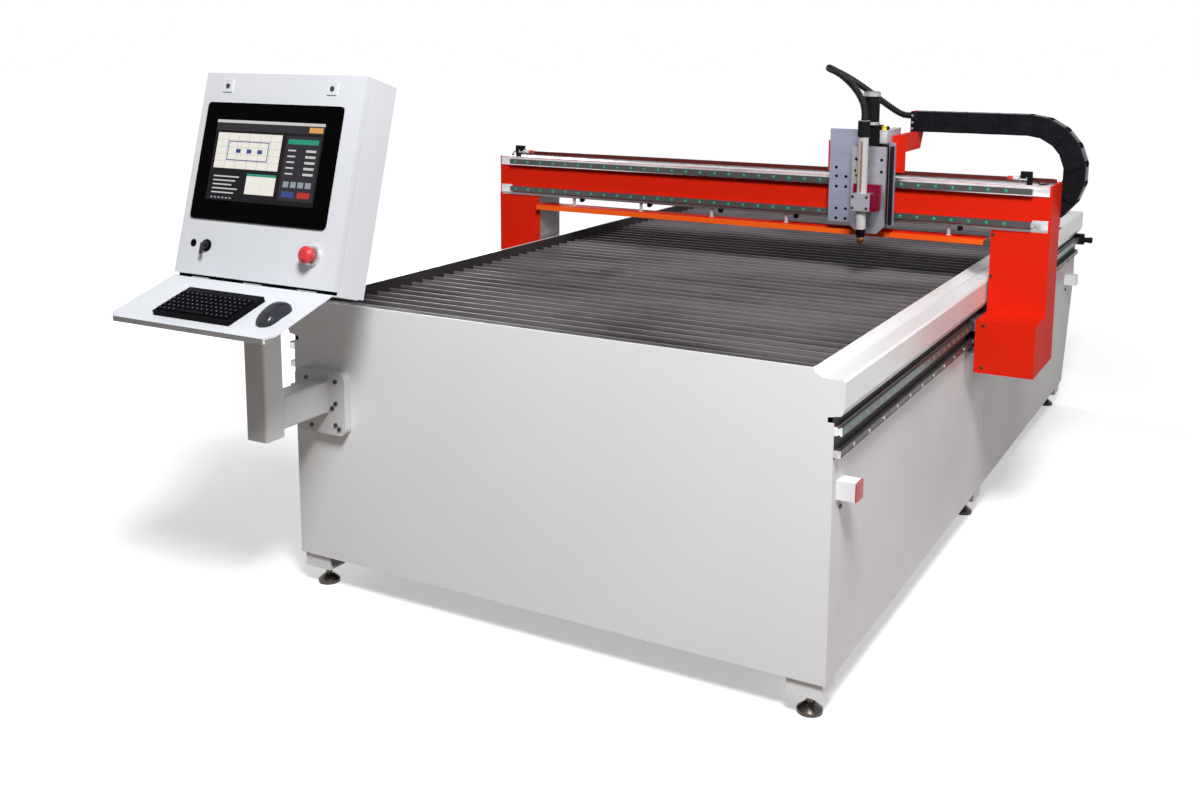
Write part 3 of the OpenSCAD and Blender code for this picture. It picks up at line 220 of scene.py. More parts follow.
# Each finish: name, scale of its mottling, roughness, colour, second colour, and what differs from the usual
M = {
    "table": finish("table_paint", 1.3, (0.36, 0.48), (0.79, 0.8, 0.815), (0.76, 0.77, 0.785), specular=0.35),
    # Painted shade: the side panels take a darker copy of the table paint, for the shade on faces turned away
    # from the key lamp.
    "side": finish("side_paint_painted_shade", 1.3, (0.4, 0.52), (0.64, 0.615, 0.63), (0.61, 0.585, 0.6), specular=0.3),
    "cover": finish("cover_paint", 2, (0.18, 0.28), (0.73, 0.73, 0.74), (0.7, 0.7, 0.71), specular=0.4),
    "console": finish(
        "console_paint", 3, (0.32, 0.44), (0.69, 0.71, 0.75), (0.665, 0.685, 0.725), grain=1200,
        specular=0.35,
    ),
    "stand": finish("stand_paint", 5, (0.36, 0.5), (0.62, 0.62, 0.63), (0.58, 0.58, 0.59), specular=0.35),
    "red": finish(
        "gantry_paint", 1.1, (0.42, 0.52), (0.7, 0.02, 0.006), (0.67, 0.018, 0.006), bump=0.03,
        specular=0.015,
    ),
    "orange": finish(
        "shield_orange", 2, (0.3, 0.42), (0.95, 0.13, 0.012), (0.9, 0.1, 0.01), bump=0.03, specular=0.06,
    ),
    # Painted shade: dark maroon skin for the red rack guard, which lies in shade behind the beam top.
    "maroon": finish("guard_painted_shade", 3, (0.4, 0.5), (0.085, 0.012, 0.009), (0.07, 0.01, 0.008), specular=0.1),
    # Painted shade: grey standing in for the shade on the keyboard tray's front lip, which faces down and
    # forward.
    "edge": finish(
        "tray_lip_shade_grey", 9, (0.4, 0.52), (0.24, 0.232, 0.235), (0.2, 0.193, 0.195), grain=400, specular=0.2,
    ),
    "frame": finish("frame_primer", 8, (0.5, 0.7), (0.03, 0.028, 0.028), grain=700, bump=0.12, specular=0.25),
    "tank": finish(
        "tank_steel", 4, (0.5, 0.7), (0.03, 0.028, 0.028), grain=400, dirt=(0.07, 0.055, 0.045),
        specular=0.25,
    ),
    "slat": slat_steel(),
    "rail": finish(
        "rail_steel", 5, (0.3, 0.44), (0.105, 0.099, 0.1), (0.08, 0.075, 0.076), 0.35, 700,
        stretch=(1, 0.3, 1), specular=0.15,
    ),
    "rack": finish(
        "rack_steel", 12, (0.34, 0.5), (0.085, 0.078, 0.078), (0.06, 0.053, 0.053), 0.4, 300, specular=0.2,
    ),
    "block": finish("block_steel", 10, (0.3, 0.42), (0.3, 0.29, 0.31), (0.24, 0.23, 0.25), 0.75, 500),
    "leg": finish(
        "leg_steel", 6, (0.34, 0.5), (0.36, 0.33, 0.345), (0.26, 0.24, 0.25), 0.6, 400, 0.1, (1, 1, 3),
    ),
    "silver": finish(
        "bare_steel", 9, (0.22, 0.36), (0.68, 0.68, 0.7), (0.55, 0.55, 0.57), 0.85, 700, stretch=(1, 4, 4),
    ),
    "screw": finish("screw_black", 60, (0.32, 0.45), (0.025, 0.025, 0.03), (0.045, 0.045, 0.05), 0.5),
    "zinc": finish("screw_zinc", 60, (0.25, 0.4), (0.5, 0.49, 0.48), (0.4, 0.39, 0.38), 0.85),
    "plug": finish("plug_green", 80, (0.35, 0.5), (0.008, 0.33, 0.17), (0.008, 0.27, 0.14)),
    "rubber": finish(
        "black_rubber", 14, (0.55, 0.75), (0.009, 0.009, 0.01), grain=700, bump=0.15, specular=0.08,
    ),
    "foot": finish("foot_steel", 30, (0.2, 0.34), (0.1, 0.085, 0.07), (0.05, 0.043, 0.037), 0.7, 600),
    "black": finish(
        "black_plastic", 25, (0.38, 0.5), (0.0055, 0.0055, 0.007), grain=1500, bump=0.08, specular=0.025,
    ),
    "keycap": finish(
        "keycap_black", 60, (0.4, 0.52), (0.0035, 0.0035, 0.005), (0.0055, 0.0055, 0.007), grain=1800,
        bump=0.08, specular=0.012,
    ),
    "mouse": finish(
        "mouse_shell", 30, (0.2, 0.28), (0.011, 0.012, 0.021), (0.009, 0.01, 0.017), grain=1500, bump=0.03,
        specular=0.4,
    ),
    "gloss": finish(
        "gloss_black", 12, (0.12, 0.18), (0.001, 0.001, 0.0012), grain=600, bump=0.01, specular=0.012,
    ),
    "motor": finish("motor_black", 18, (0.38, 0.5), (0.009, 0.0085, 0.01), specular=0.04),
    "chain": finish(
        "chain_nylon", 22, (0.36, 0.52), (0.0075, 0.007, 0.0095), (0.0105, 0.01, 0.013), bump=0.12,
        specular=0.04,
    ),
    "lid": finish(
        "chain_lid", 22, (0.34, 0.46), (0.012, 0.012, 0.016), (0.009, 0.009, 0.012), bump=0.08, specular=0.22,
    ),
    "hose": finish(
        "hose_black", 40, (0.32, 0.44), (0.007, 0.007, 0.009), (0.011, 0.011, 0.014), grain=700, bump=0.1,
        specular=0.16,
    ),
    "plate": finish(
        "plate_grey", 7, (0.34, 0.46), (0.36, 0.375, 0.485), (0.32, 0.335, 0.44), 0.5, 800, stretch=(1, 1, 3),
    ),
    "zplate": finish(
        "z_plate_silver", 7, (0.28, 0.4), (0.42, 0.42, 0.47), (0.36, 0.36, 0.41), 0.7, 800, stretch=(1, 1, 4),
    ),
    "clampgrey": finish("clamp_grey", 12, (0.3, 0.42), (0.48, 0.47, 0.54), (0.42, 0.41, 0.48), 0.6, 800),
    "sensor": finish("sensor_grey", 14, (0.36, 0.48), (0.55, 0.55, 0.59), (0.5, 0.5, 0.54), 0.3),
    "crimson": finish(
        "crimson_anodised", 14, (0.36, 0.48), (0.21, 0.006, 0.03), (0.18, 0.005, 0.026), 0.1, specular=0.06,
    ),
    "torch": finish("torch_white", 18, (0.28, 0.42), (0.5, 0.49, 0.5), (0.45, 0.44, 0.45)),
    "stripe": finish("torch_scale", 90, (0.4, 0.55), (0.28, 0.14, 0.065), (0.2, 0.1, 0.05)),
    "yellow": finish("connector_yellow", 60, (0.3, 0.42), (0.78, 0.66, 0.02), (0.7, 0.58, 0.02)),
    "dull": finish("dull_silver", 12, (0.44, 0.56), (0.4, 0.4, 0.42), (0.34, 0.34, 0.36), 0.4, 700),
    "mark": finish("key_mark", 90, (0.5, 0.6), (0.3, 0.3, 0.32), (0.25, 0.25, 0.27), grain=400),
    "copper": finish("copper", 60, (0.22, 0.38), (0.62, 0.27, 0.13), (0.45, 0.17, 0.08), 0.9),
    "estop": finish(
        "estop_red", 30, (0.24, 0.34), (0.66, 0.03, 0.035), (0.6, 0.025, 0.03), bump=0.02, specular=0.4,
    ),
    "cap": finish("cap_red", 20, (0.35, 0.5), (0.42, 0.01, 0.022), (0.36, 0.008, 0.018)),
    "liner": finish(
        "liner_steel", 7, (0.5, 0.7), (0.022, 0.019, 0.022), (0.035, 0.03, 0.032), grain=300, bump=0.2,
        stretch=(1, 0.3, 2), dirt=(0.06, 0.045, 0.035), specular=0.15,
    ),
    "switch": finish("switch_metal", 30, (0.22, 0.36), (0.62, 0.62, 0.64), (0.5, 0.5, 0.52), 0.75),
}

NODE_LOOK = {
    "table": ["front_panel", "rear_panel", "foot_brackets", "side_stubs"],
    "side": ["side_panels"],
    "cover": ["rail_covers"],
    "console": ["console_tray", "console_box", "console_door"],
    "stand": ["console_stand"],
    "red": ["gantry_beam", "leg_covers", "chain_bracket"],
    "orange": ["shield_strip"],
    "screw": ["key"],
    "frame": ["table_frame", "slat_combs"],
    "tank": ["tank_floor"],
    "slat": ["slats"],
    "rail": ["table_rails", "beam_rails"],
    "rack": ["table_racks", "beam_rack"],
    "block": ["gantry_blocks", "carriage_blocks", "pinion_left", "pinion_right", "x_pinion", "z_screw"],
    "leg": ["gantry_legs"],
    "rubber": ["rail_stops"],
    "foot": [f"foot_{row}_{side}" for row in ("front", "mid", "rear") for side in ("left", "right")],
    "black": ["keyboard_base", "latch_left", "latch_right"],
    "gloss": ["monitor"],
    "motor": ["gantry_motors", "x_drive", "z_motor", "z_housing", "beam_brackets"],
    "chain": ["chain_lower", "chain_loop", "chain_upper"],
    "plate": ["carriage_plate"],
    "zplate": ["z_plate"],
    "clampgrey": ["torch_clamp"],
    "crimson": ["breakaway_block"],
    "torch": ["torch_body"],
    "copper": ["torch_tip"],
    "estop": ["estop_button"],
    "switch": ["switch_bezels"],
}
for look, names in NODE_LOOK.items():
    for n in names:
        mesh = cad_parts[n].data
        mesh.materials.clear()
        mesh.materials.append(M[look])


# Builders: each adds a shape, in millimetres, to one mesh

SIDES, SIDE_NAMES = (-1, 1), ("left", "right")
UP, OUT = (0, 0, 1), (0, -1, 0)
# Bevels: width and segments
FINE, THIN, LIGHT, SOFT, ROUND, FULL = (0.2, 1), (0.3, 1), (0.3, 2), (0.4, 2), (0.8, 2), (1.0, 2)
SMOOTH_DEG, SCREW_SIDES, WIRE_STEPS, WIRE_SIDES = 35, 14, 6, 8


def box_mm(node):
    lo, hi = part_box(node)
    return lo / MM, hi / MM


def mesh_object(name, bm, place=None, turn_out=True):
    if place:
        bm.transform(place)
    bmesh.ops.scale(bm, vec=(MM, MM, MM), verts=bm.verts)
    if turn_out:
        bmesh.ops.recalc_face_normals(bm, faces=bm.faces)
    mesh = bpy.data.meshes.new(name)
    bm.to_mesh(mesh)
    bm.free()
    return linked(name, mesh)


def smooth_by_angle(mesh, degrees):
    mesh.polygons.foreach_set("use_smooth", [True] * len(mesh.polygons))
    mesh.set_sharp_from_angle(angle=math.radians(degrees))


def loose(name, bm, look, place=None, degrees=SMOOTH_DEG):
    """A finished piece that doesn't ride on a body yet."""
    o = mesh_object(name, bm, place)
    smooth_by_angle(o.data, degrees)
    o.data.materials.append(M[look])
    return o


def put(name, bm, look, body, place=None):
    o = loose(name, bm, look, place)
    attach(o, body)
    return o


def block(bm, lo, hi, bevel=0.0, segments=2):
    lo, hi = Vector(lo), Vector(hi)
    size = Matrix.Diagonal((*(hi - lo), 1))
    verts = bmesh.ops.create_cube(bm, size=1, matrix=Matrix.Translation((lo + hi) / 2) @ size)["verts"]
    if bevel:
        edges = dict.fromkeys(e for v in verts for e in v.link_edges)
        bmesh.ops.bevel(
            bm, geom=list(edges), offset=bevel, segments=segments, affect="EDGES", profile=0.5,
        )


def lathe(bm, profile, at, axis, sides):
    """Turned shape: profile holds (radius, height along the axis), and a radius of 0 closes an end."""
    turn = Vector(UP).rotation_difference(Vector(axis)).to_matrix()
    at = Vector(at)
    angles = [2 * math.pi * k / sides for k in range(sides)]
    rows = []
    for r, h in profile:
        spots = [(r * math.cos(a), r * math.sin(a), h) for a in angles] if r else [(0, 0, h)]
        rows.append([bm.verts.new(at + turn @ Vector(p)) for p in spots])
    for low, high in zip(rows, rows[1:]):
        for k in range(sides):
            j = (k + 1) % sides
            corners = [low[k % len(low)], low[j % len(low)], high[j % len(high)], high[k % len(high)]]
            unique = list(dict.fromkeys(corners))
            if len(unique) > 2:
                bm.faces.new(unique)


def blocks(name, rows, look, body, place=None):
    """A piece of blocks, each row holding its low corner, high corner, bevel and segments."""
    bm = bmesh.new()
    for row in rows:
        block(bm, *row)
    put(name, bm, look, body, place)


def both_sides(low, high, edge):
    """Rows for a block on the right and its mirror image on the left."""
    (x0, *a), (x1, *b) = low, high
    return [((-x1, *a), (-x0, *b), *edge), (low, high, *edge)]


def turned(name, rows, look, body, place=None):
    """A piece of turned shapes, each row holding its profile, place, axis and sides."""
    bm = bmesh.new()
    for row in rows:
        lathe(bm, *row)
    put(name, bm, look, body, place)


def prism(bm, outline, start, along):
    """Outline of 3-D points, drawn out by one vector."""
    start, along = Vector(start), Vector(along)
    near = [bm.verts.new(start + Vector(p)) for p in outline]
    far = [bm.verts.new(start + Vector(p) + along) for p in outline]
    bm.faces.new(near)
    bm.faces.new(far[::-1])
    for i in range(len(near)):
        j = (i + 1) % len(near)
        bm.faces.new((near[i], far[i], far[j], near[j]))


def curve_points(points, per_span):
    """Smooth curve through the points, the same rule as the hose in the model."""
    points = [Vector(p) for p in points]
    last = len(points) - 1
    out = []
    for s in range(last * per_span + 1):
        t = s / per_span
        i = min(int(t), last - 1)
        u = t - i
        a, b, c, d = points[max(i - 1, 0)], points[i], points[i + 1], points[min(i + 2, last)]
        square, cube = 2 * a - 5 * b + 4 * c - d, 3 * b - a - 3 * c + d
        out.append((2 * b + (c - a) * u + square * u**2 + cube * u**3) / 2)
    return out


def sweep(bm, path, radii, sides, first=None, last=None):
    """Tube along a path with one radius for each point, capped at both ends."""
    count = len(path)
    angles = [2 * math.pi * k / sides for k in range(sides)]
    normal = None
    rings = []
    for i, p in enumerate(path):
        ahead = path[min(i + 1, count - 1)] - path[max(i - 1, 0)]
        if i == 0 and first:
            ahead = Vector(first)
        if i == count - 1 and last:
            ahead = Vector(last)
        ahead.normalize()
        if normal is None:
            normal = ahead.orthogonal()
        normal = (normal - normal.dot(ahead) * ahead).normalized()
        across = ahead.cross(normal)
        rings.append(
            [bm.verts.new(p + radii[i] * (math.cos(a) * normal + math.sin(a) * across)) for a in angles]
        )
    for low, high in zip(rings, rings[1:]):
        for k in range(sides):
            j = (k + 1) % sides
            bm.faces.new((low[k], low[j], high[j], high[k]))
    bm.faces.new(rings[0][::-1])
    bm.faces.new(rings[-1])


def wire(bm, points, radius):
    path = curve_points(points, WIRE_STEPS)
    sweep(bm, path, [radius] * len(path), WIRE_SIDES)


def screw_profile(r, h):
    """Round screw head with a socket, standing on its face."""
    socket, floor = 0.5 * r, 0.45 * h
    return [(0, floor), (socket, floor), (socket, h), (0.85 * r, h), (r, 0.75 * h), (r, 0), (0, 0)]


def screws(name, spots, axis, r, h, look, body, slot):
    turned(name, [(screw_profile(r, h), spot, axis, SCREW_SIDES) for spot in spots], look, body)


def steps(first, last, pitch):
    count = int((last - first) / pitch + 0.001)
    return [first + i * pitch for i in range(count + 1)]


# Torch hose, the only free cord: a ribbed tube from the torch's collar to the chain's end

HOSE_START = Vector((507, 1362.7, 1484))
HOSE_ROUTE = [
    (0, 0, 0), (0, 0, 28), (-6, 1, 56), (-20, 4, 84), (-44, 10, 114), (-76, 22, 141), (-112, 42, 161),
    (-147, 74, 172), (-173, 116, 176), (-185, 162, 172), (-179, 208, 162), (-159, 250, 146),
    (-132, 285, 124), (-98, 316, 96), (-64, 342, 66), (-28, 366, 36), (0, 382, 15), (20, 389, 4),
]
HOSE_GOAL_Y, HOSE_GOAL_Z, HOSE_LEAD = 1753, 1483.85, 28
HOSE_R, HOSE_DIP, RIB_ROUND = 13, 0.78, 0.6
HOSE_RIBS, RIB_RINGS, HOSE_SIDES = 90, 6, 20
HOSE_STEPS, HOSE_SMOOTH_DEG, CORD_EVERY = 60, 60, 3


def torch_hose():
    goal = Vector((box_mm("torch_hose")[1].x, HOSE_GOAL_Y, HOSE_GOAL_Z))
    points = [HOSE_START + Vector(p) for p in HOSE_ROUTE] + [goal - Vector((HOSE_LEAD, 0, 0)), goal]
    fine = curve_points(points, HOSE_STEPS)
    spans = [(b - a).length for a, b in zip(fine, fine[1:])]
    total = sum(spans)
    rings = HOSE_RIBS * RIB_RINGS
    path, reach, k = [fine[0]], 0.0, 0
    for i in range(1, rings):
        want = total * i / rings
        while reach + spans[k] < want:
            reach += spans[k]
            k += 1
        path.append(fine[k].lerp(fine[k + 1], (want - reach) / spans[k]))
    path.append(fine[-1])
    middle, swing = HOSE_R * (1 + HOSE_DIP) / 2, HOSE_R * (1 - HOSE_DIP) / 2
    radii = []
    for i in range(rings + 1):
        wave = math.sin(2 * math.pi * (i / RIB_RINGS - 0.25))
        radii.append(middle + swing * math.copysign(abs(wave) ** RIB_ROUND, wave))
    bm = bmesh.new()
    sweep(bm, path, radii, HOSE_SIDES, UP, (1, 0, 0))
    hose = loose("torch_hose_ribbed", bm, "hose", degrees=HOSE_SMOOTH_DEG)
    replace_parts(hose, "torch_hose")
    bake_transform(hose)


torch_hose()


# Table: rails, racks, stubs, feet

PLUG = [(0, 0.9), (4.4, 0.8), (5.9, 0.2), (6.2, -0.2), (0, -0.2)]
PLUG_END, PLUG_PITCH, BEAM_PLUG_PITCH = 26, 60, 60.6
RAIL_BASE, RAIL_END_T = 890, 0.5
RACK_BOLT_END, RACK_BOLT_PITCH, RACK_BOLT_DROP, RACK_BOLT = 102, 129, 9, (5.5, 3.2)
RACK_X, RACK_HALF, RACK_H, RACK_END_T = 900, 10, 20, 0.6


def rail_outline(w, h):
    """Profile rail on its side: base at 0, with a waist."""
    edge = [(0, w / 2), (0.36 * h, w / 2), (0.5 * h, 0.38 * w)]
    edge += [(0.7 * h, 0.38 * w), (0.86 * h, w / 2), (h, w / 2)]
    return edge + [(x, -y) for x, y in reversed(edge)]


def table_fittings():
    lo, hi = box_mm("table_rails")
    z = (lo.z + hi.z) / 2
    ys = steps(lo.y + PLUG_END, hi.y, PLUG_PITCH)
    rows = [(PLUG, (s * hi.x, y, z), (s, 0, 0), 12) for s in SIDES for y in ys]
    turned("rail_plugs", rows, "plug", "table")
    bm = bmesh.new()
    outline = rail_outline(hi.z - lo.z, hi.x - RAIL_BASE)
    for s in SIDES:
        for y, step in ((lo.y, -RAIL_END_T), (hi.y, RAIL_END_T)):
            prism(bm, [(s * (RAIL_BASE + x), 0, z + h) for x, h in outline], (0, y, 0), (0, step, 0))
    put("rail_ends", bm, "silver", "table")
    lo, hi = box_mm("table_racks")
    ys = steps(RACK_BOLT_END, hi.y, RACK_BOLT_PITCH)
    for s, side in zip(SIDES, SIDE_NAMES):
        spots = [(s * hi.x, y, hi.z - RACK_BOLT_DROP) for y in ys]
        screws("rack_bolts_" + side, spots, (s, 0, 0), *RACK_BOLT, "zinc", "table", "rack_steel")
    low = (RACK_X - RACK_HALF, lo.y - RACK_END_T, hi.z - RACK_H)
    ends = both_sides(low, (RACK_X + RACK_HALF, lo.y, hi.z), FINE)
    blocks("rack_ends", ends, "zinc", "table")


STUB_CAP_X, STUB_CAP_T, STUB_W, STUB_FACE = 940, 5, 50, 890
STUB_YS, STUB_Z = (35, 3330), 608
CAP_IN, CAP_PROUD, CAP_EDGE = 1, 0.6, (2.4, 3)
STUB_SCREW_Y, STUB_SCREW_DROP, STUB_SCREW = 36, 29, (7, 4)


def stub_fittings():
    for y, row, look in zip(STUB_YS, ("front", "rear"), ("cap", "cover")):
        wide = STUB_W + CAP_PROUD
        low = (STUB_CAP_X - CAP_IN, y - CAP_PROUD, STUB_Z - CAP_PROUD)
        high = (STUB_CAP_X + STUB_CAP_T + CAP_PROUD, y + wide, STUB_Z + wide)
        blocks("stub_caps_" + row, both_sides(low, high, CAP_EDGE), look, "table")
    for s, side in zip(SIDES, SIDE_NAMES):
        spots = [(s * STUB_FACE, y + STUB_SCREW_Y, STUB_Z - STUB_SCREW_DROP) for y in STUB_YS]
        screws("stub_screws_" + side, spots, (s, 0, 0), *STUB_SCREW, "screw", "table", "table_white")


NUT_FLATS, NUT_H, NUT_GAP = 30, 13, 0.3
FOOT_X, FOOT_YS = 830, {"front": 60, "mid": 1715, "rear": 3370}
BRACKET_Z, BRACKET_T = 64, 8


def foot_nuts():
    corner = NUT_FLATS / math.sqrt(3)
    lower = [(0, 0), (0.9 * corner, 0), (corner, 0.12 * NUT_H)]
    nut = lower + [(r, NUT_H - h) for r, h in reversed(lower)]
    zs = (BRACKET_Z - NUT_H - NUT_GAP, BRACKET_Z + BRACKET_T + NUT_GAP)
    for row, y in FOOT_YS.items():
        for s, side in zip(SIDES, SIDE_NAMES):
            rows = [(nut, (s * FOOT_X, y, z), UP, 6) for z in zs]
            turned(f"foot_nut_{row}_{side}", rows, "zinc", f"foot_{row}_{side}")


BED_X, BED_LOW, BED_TOP, BED_END, LINER_T = 831, 900, 951.5, 30, 1.2
STRIP_X, STRIP_Y0, STRIP_Y1, STRIP_T = 829, 6, 25, 1
STRIP_IN, STRIP_PROUD, STRIP_FALL = 0.2, 0.5, 24


def bed_liners():
    """Dark sheet up the inner walls of the bed, with a strip on the front panel's lip."""
    lo, hi = box_mm("rail_covers")
    low = (BED_X - LINER_T, lo.y + BED_END, BED_LOW)
    rows = both_sides(low, (BED_X, hi.y - BED_END, BED_TOP), THIN)
    back = STRIP_Y1 + STRIP_T
    rows.append(((-STRIP_X, STRIP_Y0, hi.z - STRIP_IN), (STRIP_X, back, hi.z + STRIP_PROUD), *FINE))
    rows.append(((-STRIP_X, STRIP_Y1, hi.z - STRIP_FALL), (STRIP_X, back, hi.z), *FINE))
    blocks("bed_liners", rows, "liner", "table")


BEAD_X0, BEAD_X1, BEAD_IN, BEAD_H, BEAD_END, COVER_TOP = 857.4, 860.2, 0.4, 0.7, 12, 931


def cover_crease_shade_beads():
    """Thin bead along each cover, at the foot of its raised inner edge, drawn in the darker side paint as
    painted shade along that crease.
    """
    lo, hi = box_mm("rail_covers")
    low = (BEAD_X0, lo.y + BEAD_END, COVER_TOP - BEAD_IN)
    high = (BEAD_X1, hi.y - BEAD_END, COVER_TOP + BEAD_H)
    blocks("cover_crease_shade_beads", both_sides(low, high, LIGHT), "side", "table")


BUMPER = [(0, 0), (13, 0), (13, 20), (15, 22), (15, 34), (12, 38), (0, 38)]
BUMPER_IN, BUMPER_UP = 18, 22


def rail_bumpers():
    lo, hi = box_mm("rail_stops")
    y, z = hi.y - BUMPER_IN, lo.z + BUMPER_UP
    rows = [(BUMPER, (s * hi.x, y, z), (s, 0, 0), 20) for s in SIDES]
    turned("rail_bumpers", rows, "rubber", "table")


table_fittings()
stub_fittings()
foot_nuts()
bed_liners()
cover_crease_shade_beads()
rail_bumpers()


# Console

CONSOLE_AT = Matrix.Translation((-765, -306, 1059))
DOOR_TILT, TRAY_TILT = math.radians(16.2), math.radians(17)
DOOR = CONSOLE_AT @ Matrix.Rotation(-DOOR_TILT, 4, "X")
TRAY = CONSOLE_AT @ Matrix.Rotation(TRAY_TILT, 4, "X")

SCREEN_X, SCREEN_Z, SCREEN_W, SCREEN_H, SCREEN_Y = -233, 236, 424, 243, -2.2
ROW_STEP = 0.012
UI = {
    "ui_base": (0.012, 0.011, 0.013),
    "ui_panel": (0.035, 0.032, 0.038),
    "ui_sheet": (0.86, 0.83, 0.76),
    "ui_line": (0.3, 0.33, 0.38),
    "ui_teal": (0.03, 0.3, 0.2),
    "ui_amber": (0.75, 0.36, 0.1),
    "ui_blue": (0.05, 0.08, 0.26),
    "ui_pale": (0.62, 0.6, 0.6),
    "ui_red": (0.5, 0.04, 0.03),
}


def ui_rows():
    """Plain screen layout in shares of the screen, from its lower left: look, x, z, width, height."""
    rows = [("ui_base", 0, 0, 1, 1), ("ui_pale", 0, 0.965, 1, 0.035), ("ui_panel", 0, 0.87, 1, 0.095)]
    rows += [("ui_amber", 0.86, 0.885, 0.12, 0.065), ("ui_sheet", 0.03, 0.4, 0.6, 0.44)]
    rows += [("ui_line", 0.03 + 0.1 * i, 0.4, 0.0025, 0.44) for i in range(1, 6)]
    rows += [("ui_line", 0.03, 0.4 + 0.088 * i, 0.6, 0.003) for i in range(1, 5)]
    rows += [("ui_blue", 0.14, 0.5, 0.38, 0.012), ("ui_blue", 0.14, 0.73, 0.38, 0.012)]
    rows += [("ui_blue", 0.14, 0.5, 0.007, 0.24), ("ui_blue", 0.513, 0.5, 0.007, 0.24)]
    rows += [("ui_blue", 0.22 + 0.1 * i, 0.595, 0.045, 0.05) for i in range(3)]
    rows += [("ui_panel", 0.67, 0.06, 0.31, 0.78), ("ui_teal", 0.69, 0.74, 0.27, 0.06)]
    rows += [("ui_pale", 0.7, 0.655 - 0.07 * i, 0.07, 0.018) for i in range(5)]
    rows += [("ui_pale", 0.86, 0.65 - 0.07 * i, 0.09, 0.028) for i in range(5)]
    rows += [("ui_line", 0.7 + 0.066 * i, 0.22, 0.05, 0.07) for i in range(4)]
    rows += [("ui_blue", 0.7, 0.1, 0.11, 0.07), ("ui_red", 0.84, 0.1, 0.11, 0.07)]
    rows += [("ui_sheet", 0.36, 0.1, 0.27, 0.22), ("ui_teal", 0.36, 0.32, 0.27, 0.03)]
    rows += [("ui_pale", 0.05, 0.29 - 0.05 * i, 0.24 - 0.03 * (i % 3), 0.016) for i in range(5)]
    rows += [("ui_line", 0.05 + 0.035 * i, 0.025, 0.02, 0.02) for i in range(6)]
    return rows


def screen():
    """Lit picture on the monitor: each row lies a hair in front of the one before it."""
    bm = bmesh.new()
    looks = list(UI)
    for i, (look, x, z, w, h) in enumerate(ui_rows()):
        x0, z0 = SCREEN_X + x * SCREEN_W, SCREEN_Z + z * SCREEN_H
        x1, z1 = x0 + w * SCREEN_W, z0 + h * SCREEN_H
        y = SCREEN_Y - ROW_STEP * i
        corners = [(x0, y, z0), (x1, y, z0), (x1, y, z1), (x0, y, z1)]
        bm.faces.new([bm.verts.new(c) for c in corners]).material_index = looks.index(look)
    o = mesh_object("screen_picture", bm, DOOR, turn_out=False)
    for look, colour in UI.items():
        o.data.materials.append(glow(look, colour))
    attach(o, "door")


ESTOP_AT, LOCK_AT, PORT_AT = (216, 0, 102), (-195, 0, 99), (-250, 0, 102)
LOCK_RING = [(12.3, 0), (18, 0), (18, 3), (15.6, 4), (15.4, 8.4), (14.6, 9), (12.3, 9), (12.3, 0)]
PORT_SOCKET = [(0, -6), (8.6, -6), (8.6, 0.4), (11.5, 0.6), (11.5, 1.4), (9.4, 2), (8, 2), (8, -4), (0, -4)]
ESTOP_COLLAR = [
    (27.2, 0), (29.5, 0), (29.5, 2), (27.6, 3.2), (27.6, 12.2), (20, 12.6), (20, 11.8), (27.2, 11.8),
]
LATCH_XS, LATCH_Z, LATCH_FRONT = (-214, 192), 582, -5.3
LATCH_FACE = [(0, -0.8), (2.4, -0.8), (2.6, 0.5), (6.2, 0.6), (7.3, 0.1), (7.3, -1), (0, -1)]
SLOT_HALF, SLOT_REACH, SLOT_PROUD, SLOT_IN = 0.9, 4.6, 0.75, 0.2
RIM_AT, RIM_HALF, RIM_REACH, RIM_FRONT, RIM_BACK, RIM_EDGE = 17, 0.9, 17.6, -3.5, -2.2, (0.35, 2)
# Painted shade: black strips in the gap under the door, and black hinge pins, stand in for the shadow line
# between the tray and the door.
HINGE_SHADE_X, HINGE_SHADE_STRIPS = 306, [((18.6, 0.4), (20.8, 13), (0.5, 1)), ((1.5, -0.4), (16.5, 0.8), THIN)]
HINGE_XS, HINGE_Y, HINGE_Z = (-208, 0, 208), 9, 6.5
HINGE_PIN = [(0, -60), (3.15, -60), (3.15, 60), (0, 60)]


def door_fittings():
    turned("lock_ring", [(LOCK_RING, LOCK_AT, OUT, 28)], "black", "door", DOOR)
    turned("port_socket", [(PORT_SOCKET, PORT_AT, OUT, 24)], "black", "door", DOOR)
    turned("estop_collar", [(ESTOP_COLLAR, ESTOP_AT, OUT, 36)], "switch", "door", DOOR)
    rims = []
    for x, body in zip(LATCH_XS, ("latch_left", "latch_right")):
        bm = bmesh.new()
        lathe(bm, LATCH_FACE, (x, LATCH_FRONT, LATCH_Z), OUT, 24)
        low = (x - SLOT_HALF, LATCH_FRONT - SLOT_PROUD, LATCH_Z - SLOT_REACH)
        block(bm, low, (x + SLOT_HALF, LATCH_FRONT + SLOT_IN, LATCH_Z + SLOT_REACH), *FINE)
        put(body + "_face", bm, "screw", body, DOOR)
        for s in SIDES:
            level = (x, LATCH_Z + s * RIM_AT, RIM_REACH, RIM_HALF)
            upright = (x + s * RIM_AT, LATCH_Z, RIM_HALF, RIM_REACH)
            for mid, z, w, h in (level, upright):
                rims.append(((mid - w, RIM_FRONT, z - h), (mid + w, RIM_BACK, z + h), *RIM_EDGE))
    blocks("latch_pad_rims", rims, "console", "door", DOOR)
    # Painted shade: dark strips fill the shadow line under the door; the pins are the real hinge, drawn black
    # as painted shade.
    bm = bmesh.new()
    for low, high, edge in HINGE_SHADE_STRIPS:
        block(bm, (-HINGE_SHADE_X, *low), (HINGE_SHADE_X, *high), *edge)
    for x in HINGE_XS:
        lathe(bm, HINGE_PIN, (x, HINGE_Y, HINGE_Z), (1, 0, 0), 16)
    put("hinge_gap_painted_shade", bm, "rubber", "table", DOOR)


